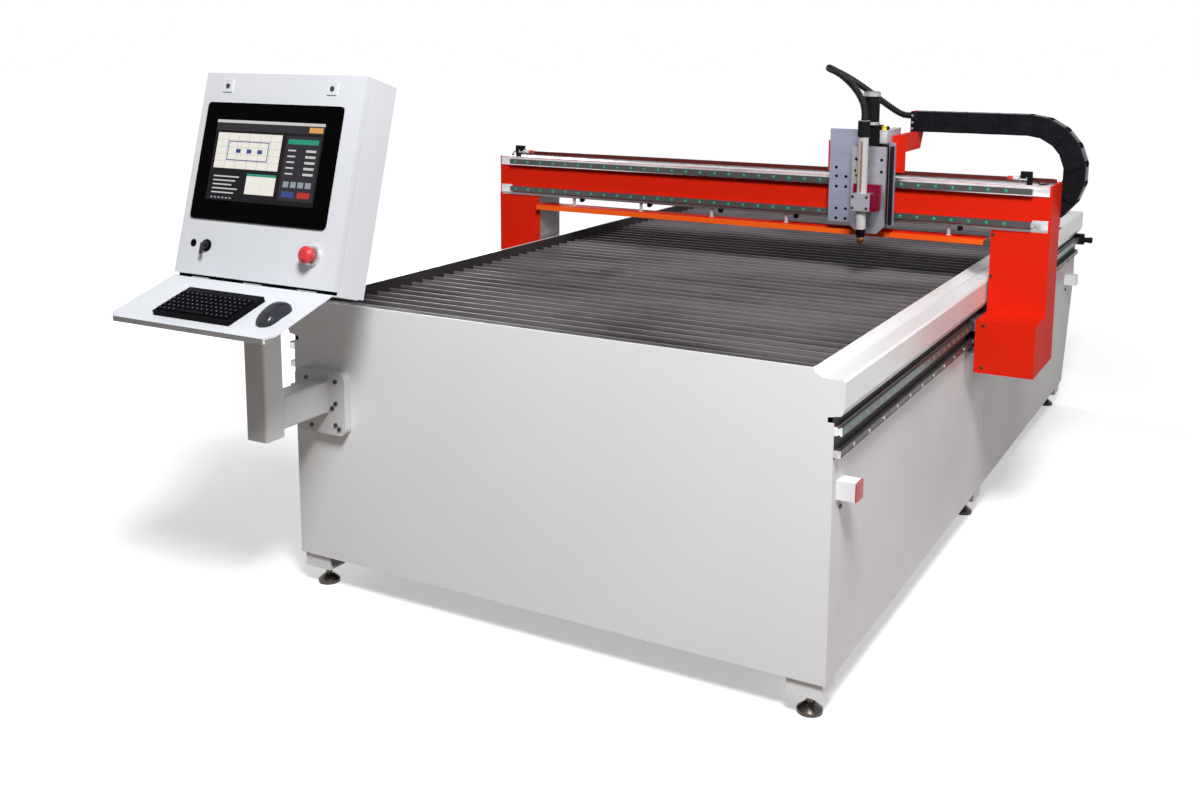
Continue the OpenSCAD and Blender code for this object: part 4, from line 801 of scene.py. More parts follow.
KEY_PITCH, KEY_GAP, KEY_COLS, KEY_ROWS = 18.2, 0.8, 15, 6
KEYBOARD_X, KEYBOARD_Y, KEYBOARD_EDGE = -13, -226, 7
KEY_Z, KEY_H, KEY_SIDE, KEY_FRONT, KEY_BACK = 12.3, 9, 1.9, 2.2, 1.2
# Height of each ring of a cap, and how many tapers it is drawn in
KEY_RINGS = [(0, 0), (0.3 * KEY_H, 0), (KEY_H - 0.2, 1), (KEY_H - 1.1, 2)]
BAR_FROM, BAR_TO = 4, 9
MARK_X, MARK_Y, MARK_W, MARK_D, MARK_H, MARK_SINK = 5.2, 9.4, 2.6, 3.0, 0.35, 1.2


def keycap(bm, x0, y0, x1, y1):
    """Tapered cap with a dished top."""
    rows = []
    for z, k in KEY_RINGS:
        left, right = x0 + k * KEY_SIDE, x1 - k * KEY_SIDE
        front, back = y0 + k * KEY_FRONT, y1 - k * KEY_BACK
        ring = [(left, front), (right, front), (right, back), (left, back)]
        rows.append([bm.verts.new((x, y, KEY_Z + z)) for x, y in ring])
    bm.faces.new(rows[0][::-1])
    bm.faces.new(rows[-1])
    for a, b in zip(rows, rows[1:]):
        for k in range(4):
            j = (k + 1) % 4
            bm.faces.new((a[k], a[j], b[j], b[k]))


def keyboard():
    """Caps with a long bar in the front row, and a plain mark on each but the bar."""
    caps, marks = bmesh.new(), bmesh.new()
    left = KEYBOARD_X - KEY_COLS * KEY_PITCH / 2
    front = KEYBOARD_Y + KEYBOARD_EDGE
    mark_z = KEY_Z + KEY_H - MARK_SINK
    for row in range(KEY_ROWS):
        for col in range(KEY_COLS):
            bar = row == 0 and BAR_FROM <= col <= BAR_TO
            if bar and col > BAR_FROM:
                continue
            wide = BAR_TO - BAR_FROM + 1 if bar else 1
            x, y = left + col * KEY_PITCH, front + row * KEY_PITCH
            x0, y0 = x + KEY_GAP / 2, y + KEY_GAP / 2
            keycap(caps, x0, y0, x0 + wide * KEY_PITCH - KEY_GAP, y0 + KEY_PITCH - KEY_GAP)
            if not bar:
                low = Vector((x + MARK_X, y + MARK_Y, mark_z))
                block(marks, low, low + Vector((MARK_W, MARK_D, MARK_H)))
    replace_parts(put("keycaps", caps, "keycap", "keys", TRAY), "keyboard_keys")
    put("key_marks", marks, "mark", "keys", TRAY)


MOUSE_AT, MOUSE_W, MOUSE_L, MOUSE_H = Vector((228, -150, 0.4)), 62, 118, 34
MOUSE_ACROSS, MOUSE_ALONG, MOUSE_WELD = 20, 26, 0.01
WHEEL = [(0, -3.5), (8, -3.5), (9.5, -2.5), (9.5, 2.5), (8, 3.5), (0, 3.5)]
WHEEL_AT = MOUSE_AT + Vector((0, 34, 16))
SEAM_AT, SEAM_STEP, SEAM_SIZE = Vector((-0.5, 6, 24.6)), Vector((0, 11, -1)), Vector((1, 9, 0.8))


def mouse():
    """Shell lofted from front to back: a low nose, a high rounded back and drawn-in sides."""
    bm = bmesh.new()
    rows = []
    for i in range(MOUSE_ALONG + 1):
        t = i / MOUSE_ALONG
        from_middle = abs(2 * t - 1)
        waist = 1 - 0.1 * math.sin(math.pi * t) ** 4
        plan = MOUSE_W / 2 * (1 - from_middle**3.2) ** 0.42 * waist
        crown = MOUSE_H * (0.3 + 0.7 * math.sin(math.pi * min(1, 0.12 + 0.86 * t)) ** 0.9)
        crown *= (1 - from_middle**6) ** 0.35
        row = []
        for j in range(MOUSE_ACROSS + 1):
            a = math.pi * j / MOUSE_ACROSS
            x = -plan * math.copysign(abs(math.cos(a)) ** 0.75, math.cos(a))
            spot = Vector((x, MOUSE_L * (0.5 - t), crown * math.sin(a) ** 0.62))
            row.append(bm.verts.new(MOUSE_AT + spot))
        rows.append(row)
    for a, b in zip(rows, rows[1:]):
        for j in range(MOUSE_ACROSS):
            bm.faces.new((a[j], b[j], b[j + 1], a[j + 1]))
        bm.faces.new((a[0], a[MOUSE_ACROSS], b[MOUSE_ACROSS], b[0]))
    bm.faces.new(rows[0])
    bm.faces.new(rows[-1][::-1])
    bmesh.ops.remove_doubles(bm, verts=bm.verts, dist=MOUSE_WELD)
    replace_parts(put("mouse_shell", bm, "mouse", "mouse", TRAY), "mouse")
    bm = bmesh.new()
    lathe(bm, WHEEL, WHEEL_AT, (1, 0, 0), 24)
    for k in range(3):
        low = MOUSE_AT + SEAM_AT + SEAM_STEP * k
        block(bm, low, low + SEAM_SIZE, *FINE)
    put("mouse_wheel", bm, "rubber", "mouse", TRAY)


TRAY_FRONT, TRAY_LEFT, TRAY_RIGHT, TRAY_CUT = -554.6, -1075, -455, 26
LIP_LOW, LIP_H, LIP_SHADE_T, LIP_SHADE_IN = 968.8, 14.4, 0.8, 0.24
CUT_LOW = LIP_LOW + TRAY_CUT * math.tan(TRAY_TILT)


def tray_lip_painted_shade():
    """Painted shade: grey sheet round the front lip of the keyboard tray, rising with its slope at the two
    cut corners.
    """
    corners = [(TRAY_LEFT, TRAY_FRONT + TRAY_CUT, CUT_LOW), (TRAY_LEFT + TRAY_CUT, TRAY_FRONT, LIP_LOW)]
    corners += [(TRAY_RIGHT - TRAY_CUT, TRAY_FRONT, LIP_LOW), (TRAY_RIGHT, TRAY_FRONT + TRAY_CUT, CUT_LOW)]
    bm = bmesh.new()
    for a, b in zip(corners, corners[1:]):
        a, b = Vector(a), Vector(b)
        along = (b - a).to_2d().normalized()
        out = Vector((along.y, -along.x, 0))
        outline = [a - out * LIP_SHADE_IN, b - out * LIP_SHADE_IN, b + out * LIP_SHADE_T, a + out * LIP_SHADE_T]
        prism(bm, outline, (0, 0, 0), (0, 0, LIP_H))
    put("tray_lip_painted_shade", bm, "edge", "table")


STAND_FACE, STAND_BOLT = -30, (7, 5)
STAND_BOLTS = [(-818, 712), (-700, 713), (-700, 643), (-714, 626), (-702, 574), (-688, 563), (-801, 560)]


def stand_bolts():
    spots = [(x, STAND_FACE, z) for x, z in STAND_BOLTS]
    screws("stand_bolts", spots, OUT, *STAND_BOLT, "screw", "table", "table_white")


screen()
door_fittings()
keyboard()
mouse()
tray_lip_painted_shade()
stand_bolts()


# Gantry

BEAM_FACE, BEAM_H, BEAM_PLUG_X, BEAM_END, BEAM_RAIL_HALF = 1520, 154, 1030, 8.5, 10
SEAT_ZS, SEAT_H, SEAT_EDGE, SEAT_IN, SEAT_GAP, FACE_PROUD = (1122, 1236), 32, 0.3, 2, 1, 0.5
BEAM_LIP_DROP, BEAM_LIP_UP, BEAM_LIP_IN = 9.5, 0.4, 6
TOP_Y, TOP_T, TOP_IN, TOP_GAP, TOP_FALL, TOP_FRONT_T = 1523.4, 0.6, 0.2, 0.3, 5, 1.6
GUARD_Y, GUARD_H, GUARD_PROUD, GUARD_IN = 1637, 14, 0.7, 0.2
GUARD_CAP_IN, GUARD_CAP_LOW, GUARD_CAP_UP = 3.4, 0.3, 0.4


def beam_fittings():
    lo, hi = box_mm("beam_rails")
    zs = (lo.z + BEAM_RAIL_HALF, hi.z - BEAM_RAIL_HALF)
    xs = steps(-BEAM_PLUG_X, BEAM_PLUG_X, BEAM_PLUG_PITCH)
    rows = [(PLUG, (x, lo.y, z), OUT, 12) for z in zs for x in xs]
    turned("beam_plugs", rows, "plug", "gantry")
    beam_lo, beam_hi = box_mm("gantry_beam")
    x0, x1 = beam_lo.x + BEAM_END, beam_hi.x - BEAM_END
    low, high = SEAT_ZS
    face = BEAM_FACE - FACE_PROUD
    spans = [(x0, x1, high)] + [(*sorted((s * (hi.x + SEAT_GAP), s * x1)), low) for s in SIDES]
    rows = []
    for a, b, z in spans:
        rows.append(((a, face, z + SEAT_EDGE), (b, BEAM_FACE + SEAT_IN, z + SEAT_H - SEAT_EDGE), *SOFT))
    blocks("beam_seats", rows, "silver", "gantry")
    lip = ((x0, face, low - BEAM_LIP_DROP), (x1, BEAM_FACE + BEAM_LIP_IN, low + BEAM_LIP_UP), *SOFT)
    blocks("beam_lip", [lip], "dull", "gantry")
    bm = bmesh.new()
    outline = rail_outline(2 * BEAM_RAIL_HALF, 2 * BEAM_RAIL_HALF)
    for s in SIDES:
        for z in zs:
            points = [(0, BEAM_FACE - y, z + h) for y, h in outline]
            prism(bm, points, (s * hi.x, 0, 0), (s * RAIL_END_T, 0, 0))
    put("beam_rail_ends", bm, "silver", "gantry")
    top = beam_lo.z + BEAM_H
    rows = [((x0, TOP_Y, top - TOP_IN), (x1, GUARD_Y - TOP_GAP, top + TOP_T), *LIGHT)]
    rows += [((x0, TOP_Y, top - TOP_FALL), (x1, TOP_Y + TOP_FRONT_T, top + TOP_T), *LIGHT)]
    blocks("beam_top_plate", rows, "silver", "gantry")
    # Painted shade: a dark skin over the red guard's front and cap stands in for the shade on them.
    face, edge = GUARD_Y - GUARD_PROUD, top + GUARD_H
    rows = [((x0, face, top + TOP_T), (x1, GUARD_Y + GUARD_IN, edge), *FINE)]
    rows += [((x0, face, edge - GUARD_CAP_LOW), (x1, GUARD_Y + GUARD_CAP_IN, edge + GUARD_CAP_UP), *FINE)]
    blocks("guard_front_painted_shade", rows, "maroon", "gantry")


COVER_BOLTS = [(931, 1095), (931, 949)]
BOX_BOLTS = [(950, 806), (950, 659)]
BOX_FACE, COVER_BOLT = 1355, (5.5, 3)


def leg_fittings():
    spots = [(s * x, BEAM_FACE, z) for s in SIDES for x, z in COVER_BOLTS]
    spots += [(s * x, BOX_FACE, z) for s in SIDES for x, z in BOX_BOLTS]
    screws("leg_cover_bolts", spots, OUT, *COVER_BOLT, "screw", "gantry", "gantry_red")


STOP_X, STOP_Y, STOP_Z = 1031, 1538.5, 1294
PROBE = [
    (0, -62), (5.2, -62), (6.6, -60.5), (6.6, -42), (7.6, -41), (7.6, -34), (6.6, -33), (6.6, 14), (5.4, 15),
    (0, 15),
]
PROBE_TIP = [(0, -66), (5, -66), (6.9, -64), (6.9, -47), (0, -47)]
PROBE_NUT = [(0, 0), (10.4, 0), (11, 0.8), (11, 3.6), (10.4, 4.2), (0, 4.2)]
NUT_SHIFTS = (-26, -3)
LEAD = [
    (1045, 1538, 1294), (1056, 1538, 1293), (1066, 1540, 1284), (1074, 1546, 1275), (1086, 1560, 1274.5),
    (1092, 1590, 1274.5),
]
LEAD_R = 2.2


def stop_probes():
    def on_axis(profile, sides, shifts=(0,)):
        spots = [(s, (s * (STOP_X + x), STOP_Y, STOP_Z)) for s in SIDES for x in shifts]
        return [(profile, spot, (s, 0, 0), sides) for s, spot in spots]

    turned("stop_probes", on_axis(PROBE, 18), "silver", "gantry")
    turned("stop_probe_tips", on_axis(PROBE_TIP, 18), "estop", "gantry")
    turned("stop_probe_nuts", on_axis(PROBE_NUT, 6, NUT_SHIFTS), "zinc", "gantry")
    bm = bmesh.new()
    for s in SIDES:
        wire(bm, [(s * x, y, z) for x, y, z in LEAD], LEAD_R)
    put("stop_probe_leads", bm, "rubber", "gantry")


HANGER_Y, HANGER_Z, HANGER_H = 1532, 1078, 40
HANGER_SPAN, HANGER_SHARES = 923, (-0.826, -0.49, -0.155, 0.178, 0.839)
SLEEVE = [
    (0, 0), (9.5, 0), (9.5, 3), (6.4, 4), (6.4, HANGER_H - 3), (8.5, HANGER_H - 2.4), (8.5, HANGER_H),
    (0, HANGER_H),
]
KNOB_X, KNOB_Y, KNOB_Z, KNOB_L = 42, 1522, 1102, 14
KNOB = [(0, -3), (4, -3), (4, -1), (9.2, -0.6), (9.6, 1), (9.6, KNOB_L - 1), (9, KNOB_L), (0, KNOB_L)]
FLANGE_END, FLANGE_FRONT, FLANGE_MORE, FLANGE_LOW, FLANGE_UP = 2, 14, 40, 1, 0.8


def hanger_fittings():
    xs = [share * HANGER_SPAN for share in HANGER_SHARES]
    rows = [(SLEEVE, (x, HANGER_Y, HANGER_Z), UP, 18) for x in xs]
    turned("hanger_sleeves", rows, "torch", "gantry")
    lo, hi = box_mm("shield_strip")
    low = (lo.x + FLANGE_END, lo.y + FLANGE_FRONT, HANGER_Z - FLANGE_LOW)
    high = (hi.x - FLANGE_END, hi.y + FLANGE_MORE, HANGER_Z + FLANGE_UP)
    blocks("shield_flange", [(low, high, *SOFT)], "red", "gantry")
    rows = [(KNOB, (x + KNOB_X, KNOB_Y, KNOB_Z), UP, 12) for x in xs]
    turned("shield_knobs", rows, "black", "gantry")


beam_fittings()
leg_fittings()
stop_probes()
hanger_fittings()


# Cable chain: pivots on both sides and a lid over each link's outer side

UPPER_LINKS, LOOP_LINKS, LOWER_LINKS = 7, 9, 16
CHAIN_R, CHAIN_END, CHAIN_MID_Z = 164, 591, 1299
LINK_PITCH = math.pi * CHAIN_R / LOOP_LINKS
LOOP_TURN = math.pi / LOOP_LINKS
LOOP_PIVOT_R = LINK_PITCH / (2 * math.sin(LOOP_TURN / 2))
LOOP_MID_R = LINK_PITCH / (2 * math.tan(LOOP_TURN / 2))
LOOP_AT = Vector((CHAIN_END + UPPER_LINKS * LINK_PITCH, 0, CHAIN_MID_Z))
CHAIN_Y0, CHAIN_Y1, CHAIN_H, LINK_T, NARROWER = 1713, 1793, 74, 5, 5.3
PIVOT = [(0, 1.3), (6, 1.3), (7, 0.7), (10.5, 0.7), (11, 0.3), (11, -0.5), (0, -0.5)]
LID_HALF, LID_GAP, LID_IN, LID_PROUD = 0.42 * LINK_PITCH, 0.4, 3.4, 0.3


def pivots(bm, spots):
    for x, z in spots:
        lathe(bm, PIVOT, (x, CHAIN_Y0, z), OUT, 18)
        lathe(bm, PIVOT, (x, CHAIN_Y1, z), (0, 1, 0), 18)


def lids(bm, places, narrow_first):
    """A lid for each link: its place turns the link's own frame, X along the chain and Z outward."""
    for i, place in enumerate(places):
        inset = LINK_T + LID_GAP + (NARROWER if (i + narrow_first) % 2 else 0)
        part = bmesh.new()
        low = (-LID_HALF, CHAIN_Y0 + inset, CHAIN_H / 2 - LID_IN)
        block(part, low, (LID_HALF, CHAIN_Y1 - inset, CHAIN_H / 2 + LID_PROUD), *ROUND)
        part.transform(place)
        mesh = bpy.data.meshes.new("lid")
        part.to_mesh(mesh)
        part.free()
        bm.from_mesh(mesh)
        bpy.data.meshes.remove(mesh)


def spread(o):
    """A straight run feeds links to and from the loop; here its place is only baked into its mesh, and it
    rides on no body.
    """
    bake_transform(o)


def chain_run(name, spots, places, narrow_first, body=None, span=None):
    """Pivots and lids of one run. A run with a span also gets its links, in place of the CAD ones."""
    bm = bmesh.new()
    pivots(bm, spots)
    pieces = [loose(name + "_pivots", bm, "chain")]
    bm = bmesh.new()
    lids(bm, places, narrow_first)
    pieces.append(loose(name + "_lids", bm, "lid"))
    if span:
        bm = bmesh.new()
        bm.from_mesh(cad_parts[name].data)
        bmesh.ops.scale(bm, vec=(1 / MM, 1 / MM, 1 / MM), verts=bm.verts)
        links = loose(name + "_links", bm, "chain")
        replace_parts(links, name)
        pieces.append(links)
    for o in pieces:
        if span:
            spread(o)
        else:
            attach(o, body)


CHAIN_TOP, CHAIN_LOW = LOOP_AT.z + LOOP_PIVOT_R, LOOP_AT.z - LOOP_PIVOT_R
UPPER_END, LOWER_END = LOOP_AT.x - UPPER_LINKS * LINK_PITCH, LOOP_AT.x - LOWER_LINKS * LINK_PITCH


def chain_runs():
    chain_run(
        "chain_upper", [(UPPER_END + i * LINK_PITCH, CHAIN_TOP) for i in range(UPPER_LINKS + 1)],
        [Matrix.Translation((UPPER_END + (i + 0.5) * LINK_PITCH, 0, CHAIN_TOP)) for i in range(UPPER_LINKS)],
        0, span=("carriage", "gantry", UPPER_END, 2 * LOOP_AT.x - UPPER_END),
    )
    turns = [i * LOOP_TURN for i in range(1, LOOP_LINKS)]
    middles = [Matrix.Rotation((i + 0.5) * LOOP_TURN, 4, "Y") for i in range(LOOP_LINKS)]
    out = Matrix.Translation((0, 0, LOOP_MID_R))
    chain_run(
        "chain_loop",
        [(LOOP_AT.x + LOOP_PIVOT_R * math.sin(a), LOOP_AT.z + LOOP_PIVOT_R * math.cos(a)) for a in turns],
        [Matrix.Translation(LOOP_AT) @ turn @ out for turn in middles],
        UPPER_LINKS, body="chain_loop",
    )
    over = Matrix.Rotation(math.pi, 4, "Y")
    xs = [LOOP_AT.x - (i + 0.5) * LINK_PITCH for i in range(LOWER_LINKS)]
    chain_run(
        "chain_lower", [(LOOP_AT.x - i * LINK_PITCH, CHAIN_LOW) for i in range(LOWER_LINKS + 1)],
        [Matrix.Translation((x, 0, CHAIN_LOW)) @ over for x in xs],
        UPPER_LINKS + LOOP_LINKS, span=("gantry", "chain_loop", LOWER_END, LOOP_AT.x),
    )


END_COVER_X, END_COVER_L, END_COVER_T, END_PLATE_T = 19.2, 22, 1.6, 0.9
END_COVER_IN, END_COVER_REST, END_COVER_EDGE = 0.4, 0.6, (0.5, 2)
END_SCREW_X, END_SCREW_ZS, END_SCREW = 6, (-26, -4, 22), (4.6, 2)


def chain_end():
    x, y = UPPER_END - END_COVER_X, CHAIN_Y0 - END_COVER_T
    half = CHAIN_H / 2 + END_COVER_IN
    low, top = (x, y, CHAIN_TOP - half), CHAIN_TOP + half
    rows = [(low, (x + END_COVER_L, CHAIN_Y0 + END_COVER_IN, top), *END_COVER_EDGE)]
    rows += [(low, (x + END_PLATE_T, CHAIN_Y1 + END_COVER_REST, top), *LIGHT)]
    blocks("chain_end_cover", rows, "chain", "carriage")
    spots = [(x + END_SCREW_X, y, CHAIN_TOP + z) for z in END_SCREW_ZS]
    screws("chain_end_screws", spots, OUT, *END_SCREW, "zinc", "carriage", "chain_black")


chain_runs()
chain_end()


# Carriage, Z axis and torch

PLATE_FACE = 1462
PLATE_HOLES = [
    (378, 1306), (380, 1274), (415, 1274), (380, 1237), (415, 1237), (382, 1157), (417, 1157),
    (382, 1121), (417, 1121),
]
Z_FACE = 1402.7
Z_HOLES = [(470, 1345), (562, 1345), (470, 1303), (562, 1303)]
CLAMP_FACE, CLAMP_BOLT = 1330.7, (5, 4)
CLAMP_BOLTS = [(485, 1220), (535, 1220), (485, 1180), (535, 1180)]
COUNTERSINK = [(0, 0.3), (2.4, 0.3), (2.6, 0.8), (4.8, 0.8), (5.6, 0.1), (5.6, -0.4), (0, -0.4)]


def plate_screws():
    rows = [(COUNTERSINK, (x, PLATE_FACE, z), OUT, 16) for x, z in PLATE_HOLES]
    turned("carriage_screws", rows, "black", "carriage")
    rows = [(COUNTERSINK, (x, Z_FACE, z), OUT, 16) for x, z in Z_HOLES]
    turned("z_plate_screws", rows, "black", "z_slide")
    spots = [(x, CLAMP_FACE, z) for x, z in CLAMP_BOLTS]
    screws("clamp_bolts", spots, OUT, *CLAMP_BOLT, "screw", "z_slide", "plate_grey")


MOTOR_SCREW, MOTOR_SCREW_IN, MOTOR_SCREW_UP = (3, 3), 8, 0.3


def z_motor_trim():
    """Top cap with a groove and a foot ring, as profiles from the motor's own radius and height."""
    lo, hi = box_mm("z_motor")
    x, y = (lo.x + hi.x) / 2, (lo.y + hi.y) / 2
    r, h = (hi.x - lo.x) / 2, hi.z - lo.z
    cap = [(0, h + 0.4), (r - 6, h + 0.4), (r - 5.6, h - 0.6), (r - 4, h - 0.6), (r - 3.6, h + 0.4)]
    cap += [(r - 1.5, h + 0.3), (r + 0.2, h - 1.4), (r + 0.2, h - 15), (r - 2, h - 15.6)]
    foot = [(r - 2, 10.6), (r + 0.6, 10.4), (r + 1.2, 9.6), (r + 1.2, 0.6), (r + 0.6, 0), (r - 2, 0)]
    rows = [(profile, (x, y, lo.z), UP, 40) for profile in (cap, foot)]
    turned("z_motor_rings", rows, "dull", "carriage")
    rows = []
    for k in range(4):
        a = math.pi / 4 + k * math.pi / 2
        out = Vector((math.cos(a), math.sin(a), 0)) * (r - MOTOR_SCREW_IN)
        rows.append((screw_profile(*MOTOR_SCREW), out + Vector((x, y, hi.z + MOTOR_SCREW_UP)), UP, 12))
    turned("z_motor_screws", rows, "screw", "carriage")


CASE_LO, CASE_HI = Vector((546.6, 1417.85, 1401.6)), Vector((573.6, 1584.6, 1448))
CASE_LID_H, CASE_LID_LAP, CASE_LID_PROUD, CASE_EDGE = 6, 0.4, 0.8, (1.2, 2)
CASE_SCREW, CASE_SCREWS = (2.4, 1.6), [(551, 1423), (569, 1423), (551, 1579), (569, 1579)]
CONNECTOR = [(0, 0), (9.5, 0), (9.5, 4), (8, 5), (8, 9), (9, 10), (9, 12.5), (7.5, 14), (0, 14)]
GLAND = [(0, 0), (7.5, 0), (7.5, 9), (5, 12), (0, 12)]
CONNECTOR_AT, GLAND_AT = (557, 1434, CASE_HI.z), (561, 1462, CASE_HI.z)


def sensor_trim():
    """Grey case over the sensor box, with a lid, two plugs and four screws."""
    lo, hi = CASE_LO, CASE_HI
    rows = [(lo, (hi.x, hi.y, hi.z - CASE_LID_H), *CASE_EDGE)]
    low = (lo.x - CASE_LID_PROUD, lo.y, hi.z - CASE_LID_H - CASE_LID_LAP)
    rows += [(low, (hi.x + CASE_LID_PROUD, hi.y + CASE_LID_PROUD, hi.z), *CASE_EDGE)]
    blocks("sensor_case", rows, "sensor", "carriage")
    rows = [(screw_profile(*CASE_SCREW), (x, y, hi.z), UP, 12) for x, y in CASE_SCREWS]
    turned("sensor_screws", rows, "screw", "carriage")
    turned("sensor_connector", [(CONNECTOR, CONNECTOR_AT, UP, 20)], "yellow", "carriage")
    turned("sensor_gland", [(GLAND, GLAND_AT, UP, 16)], "black", "carriage")


GUIDE_Z0, GUIDE_Z1, GUIDE_EDGE = 1112, 1390, (0.7, 2)
GUIDES = [
    ((461, 1444), (464.5, 1461), GUIDE_EDGE), ((567.5, 1444), (571, 1461), GUIDE_EDGE),
    ((579, 1443), (589, 1462.2), ROUND),
]


def z_guides():
    """Black guide covers: one up each side of the Z housing and one on the plate beside it."""
    rows = [((*low, GUIDE_Z0), (*high, GUIDE_Z1), *edge) for low, high, edge in GUIDES]
    blocks("z_guides", rows, "rubber", "carriage")


CHEEK_W, CHEEK_PROUD, CHEEK_MORE = 22, 0.5, 0.4


def clamp_cheek():
    """Red cheek over the clamp's right end."""
    lo, hi = box_mm("torch_clamp")
    low = (hi.x - CHEEK_W, lo.y - CHEEK_PROUD, lo.z - CHEEK_MORE)
    high = (hi.x + CHEEK_PROUD, hi.y - CHEEK_PROUD, hi.z + CHEEK_MORE)
    blocks("clamp_cheek", [(low, high, *FULL)], "crimson", "z_slide")


TORCH_AT = Vector((507, 1362.7, 0))
COLLAR_R, GROOVE_R, COLLAR_TOP, COLLAR_RIBS, COLLAR_PITCH = 21.4, 20.4, 1482, 8, 6.6
COLLAR_RIB = [(COLLAR_R, 0), (COLLAR_R, 4.4), (GROOVE_R, 5), (GROOVE_R, 6.2)]
COLLAR_HEAD, COLLAR_FOOT = [(0, 1484), (14.5, 1484)], [(COLLAR_R, 1428), (18.2, 1426.5)]
TORCH_SHIELD = [
    (17, 1103), (18.4, 1102.5), (18.4, 1098), (16.9, 1097), (16.9, 1088), (15.6, 1086), (13.6, 1074.4),
    (9, 1073.6),
]
TORCH_CUP = [
    (9, 1074), (13, 1073.4), (13, 1069), (12.2, 1063), (8, 1052.4), (7, 1050.8), (3, 1050.6), (3, 1056),
]


def torch_turned():
    tops = [COLLAR_TOP - COLLAR_PITCH * k for k in range(COLLAR_RIBS)]
    collar = COLLAR_HEAD + [(r, z - fall) for z in tops for r, fall in COLLAR_RIB] + COLLAR_FOOT
    turned("torch_collar", [(collar, TORCH_AT, UP, 32)], "rubber", "z_slide")
    torch_scale()
    turned("torch_shield", [(TORCH_SHIELD, TORCH_AT, UP, 32)], "black", "z_slide")
    turned("torch_cup", [(TORCH_CUP, TORCH_AT, UP, 32)], "copper", "z_slide")


STRIPE_R, STRIPE_T, STRIPE_HALF, STRIPE_CUTS = 18.35, 0.6, math.radians(11), 6
STRIPE_ZS = (1233, 1412)


def torch_scale():
    """Thin curved stripe up the front of the torch."""
    bm = bmesh.new()
    span = range(STRIPE_CUTS + 1)
    angles = [-math.pi / 2 - STRIPE_HALF + 2 * STRIPE_HALF * k / STRIPE_CUTS for k in span]
    rows = []
    for r in (STRIPE_R - STRIPE_T, STRIPE_R):
        for z in STRIPE_ZS:
            spots = [Vector((r * math.cos(a), r * math.sin(a), z)) for a in angles]
            rows.append([bm.verts.new(TORCH_AT + p) for p in spots])
    inner_low, inner_top, low, top = rows
    for a, b in ((low, top), (top, inner_top), (inner_top, inner_low), (inner_low, low)):
        for k in range(STRIPE_CUTS):
            bm.faces.new((a[k], a[k + 1], b[k + 1], b[k]))
    for k in (0, STRIPE_CUTS):
        bm.faces.new((low[k], top[k], inner_top[k], inner_low[k]))
    put("torch_scale", bm, "stripe", "z_slide")


WIRE_ROUTE = [(480, 1398, 1352), (479, 1392, 1330), (477, 1390, 1300), (478, 1391, 1275)]
WIRE_END, WIRE_SHIFTS, WIRE_R = (481, 1393, 1256), ((0, 0), (4.6, 1)), 2.1
CLIP_LOW, CLIP_HIGH, CLIP_ZS, CLIP_H = (473, 1386), (489, 1403.2), (1340, 1285), 7


def torch_wires():
    bm = bmesh.new()
    for dx, dz in WIRE_SHIFTS:
        x, y, z = WIRE_END
        wire(bm, [(a + dx, b, c) for a, b, c in WIRE_ROUTE] + [(x + dx, y, z + dz)], WIRE_R)
    put("torch_wires", bm, "yellow", "z_slide")
    rows = [((*CLIP_LOW, z), (*CLIP_HIGH, z + CLIP_H), *FULL) for z in CLIP_ZS]
    blocks("torch_wire_clips", rows, "black", "z_slide")


plate_screws()
z_motor_trim()
sensor_trim()
z_guides()
clamp_cheek()
torch_turned()
torch_wires()


# Floor and light

WORLD_LIGHT = 0.12
FLOOR_PALE, FLOOR_BOUNCE = (0.86, 0.86, 0.865), (0.22, 0.18, 0.15)
FLOOR_MIDDLE, FLOOR_REACH = (0, 1.6, 0), (1.6, 2.7, 1)
FLOOR_SIZE, FLOOR_Z = 60, -0.001
LIFT_FROM, LIFT_TO, LIFT_NEAR, LIFT_FAR = 1.1, 2.2, 0.45, 0.85
# Each lamp: place, aim, size in metres and watts
LAMPS = {
    "key": ((2.1, -2.6, 5.0), (0, 0.8, 0.7), 1.5, 392),
    "side": ((4.6, 0.4, 2.3), (0, 0.8, 0.8), 1.5, 40),
    "back": ((-3.6, 4.8, 2.0), (0, 2.4, 0.6), 2.0, 75),
}


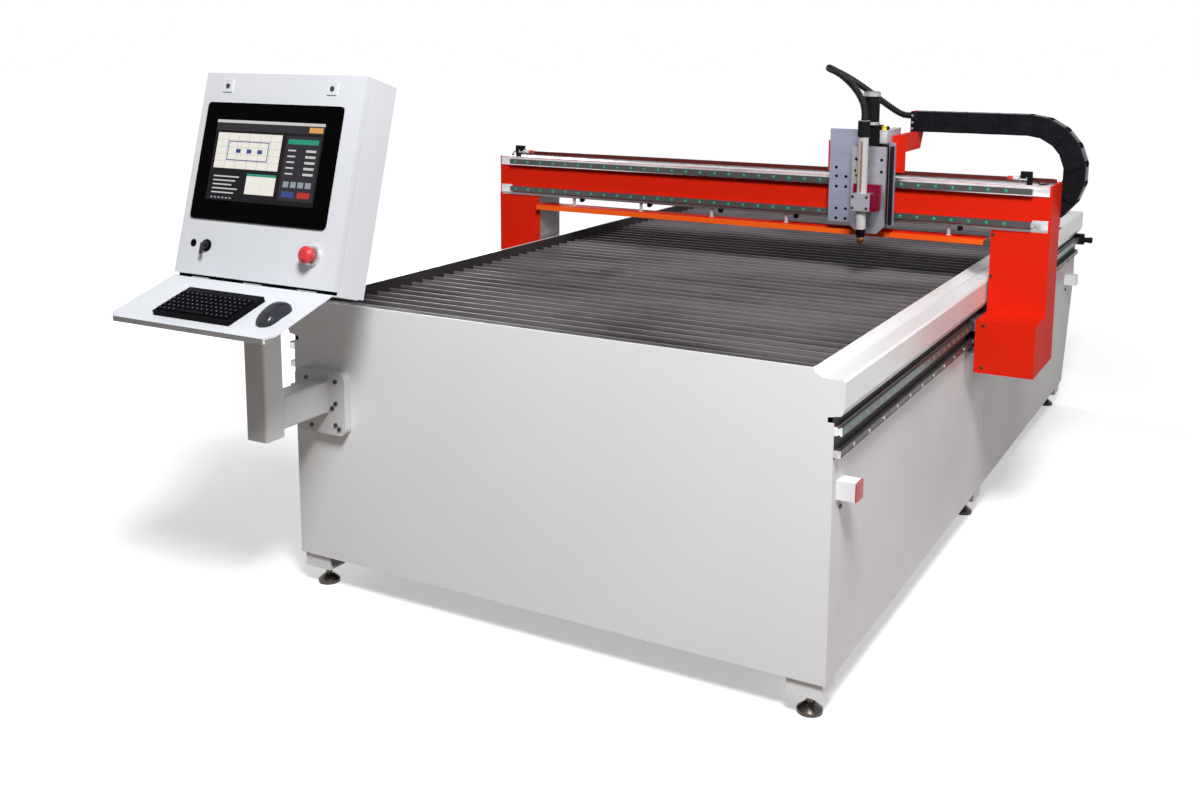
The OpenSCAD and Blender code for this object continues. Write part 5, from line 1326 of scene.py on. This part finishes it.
def seen_rays(t):
    """1 for rays that show the background: from the camera, a mirror or glass."""
    path = t.nodes.new("ShaderNodeLightPath")
    out = path.outputs["Is Camera Ray"]
    for kind in ("Is Glossy Ray", "Is Transmission Ray"):
        out = combine(t, "MAXIMUM", out, path.outputs[kind])
    return out


def floor_material():
    """Pale floor: white to the eye, more so away from the object, and a warm grey as a source of bounce."""
    m, t, bsdf = node_tree("floor_white")
    seen = seen_rays(t)
    t.links.new(mix_colour(t, seen, FLOOR_BOUNCE, FLOOR_PALE), bsdf.inputs["Base Color"])
    fill(bsdf, {"Roughness": 0.7, "Specular IOR Level": 0.1, "Emission Color": (1, 1, 1, 1)})
    coord = t.nodes.new("ShaderNodeTexCoord")
    away = t.nodes.new("ShaderNodeMapping")
    away.vector_type = "TEXTURE"
    fill(away, {"Location": FLOOR_MIDDLE, "Scale": FLOOR_REACH})
    t.links.new(coord.outputs["Object"], away.inputs["Vector"])
    length = t.nodes.new("ShaderNodeVectorMath")
    length.operation = "LENGTH"
    t.links.new(away.outputs["Vector"], length.inputs[0])
    lift = ramp(t, length.outputs["Value"], LIFT_FROM, LIFT_TO, LIFT_NEAR, LIFT_FAR)
    t.links.new(combine(t, "MULTIPLY", lift, seen), bsdf.inputs["Emission Strength"])
    return m


def make_stage():
    bm = bmesh.new()
    bmesh.ops.create_grid(bm, x_segments=1, y_segments=1, size=FLOOR_SIZE / MM)
    floor = mesh_object("floor", bm, turn_out=False)
    floor.location = (0, 0, FLOOR_Z)
    floor.data.materials.append(floor_material())
    world = bpy.data.worlds.new("studio")
    scene.world = world
    world.use_nodes = True
    t = world.node_tree
    background = t.nodes["Background"]
    fill(background, {"Color": (1, 1, 1, 1)})
    seen = seen_rays(t)
    t.links.new(ramp(t, seen, 0, 1, WORLD_LIGHT, 1), background.inputs["Strength"])


def lamp(name, place, aim, size, watts):
    data = bpy.data.lights.new(name, "AREA")
    data.shape = "DISK"
    data.size = size
    data.energy = watts
    o = linked(name, data)
    o.location = place
    o.rotation_euler = (Vector(aim) - Vector(place)).to_track_quat("-Z", "Y").to_euler()


make_stage()
for lamp_name, values in LAMPS.items():
    lamp(lamp_name, *values)

scene.view_settings.view_transform = "Standard"
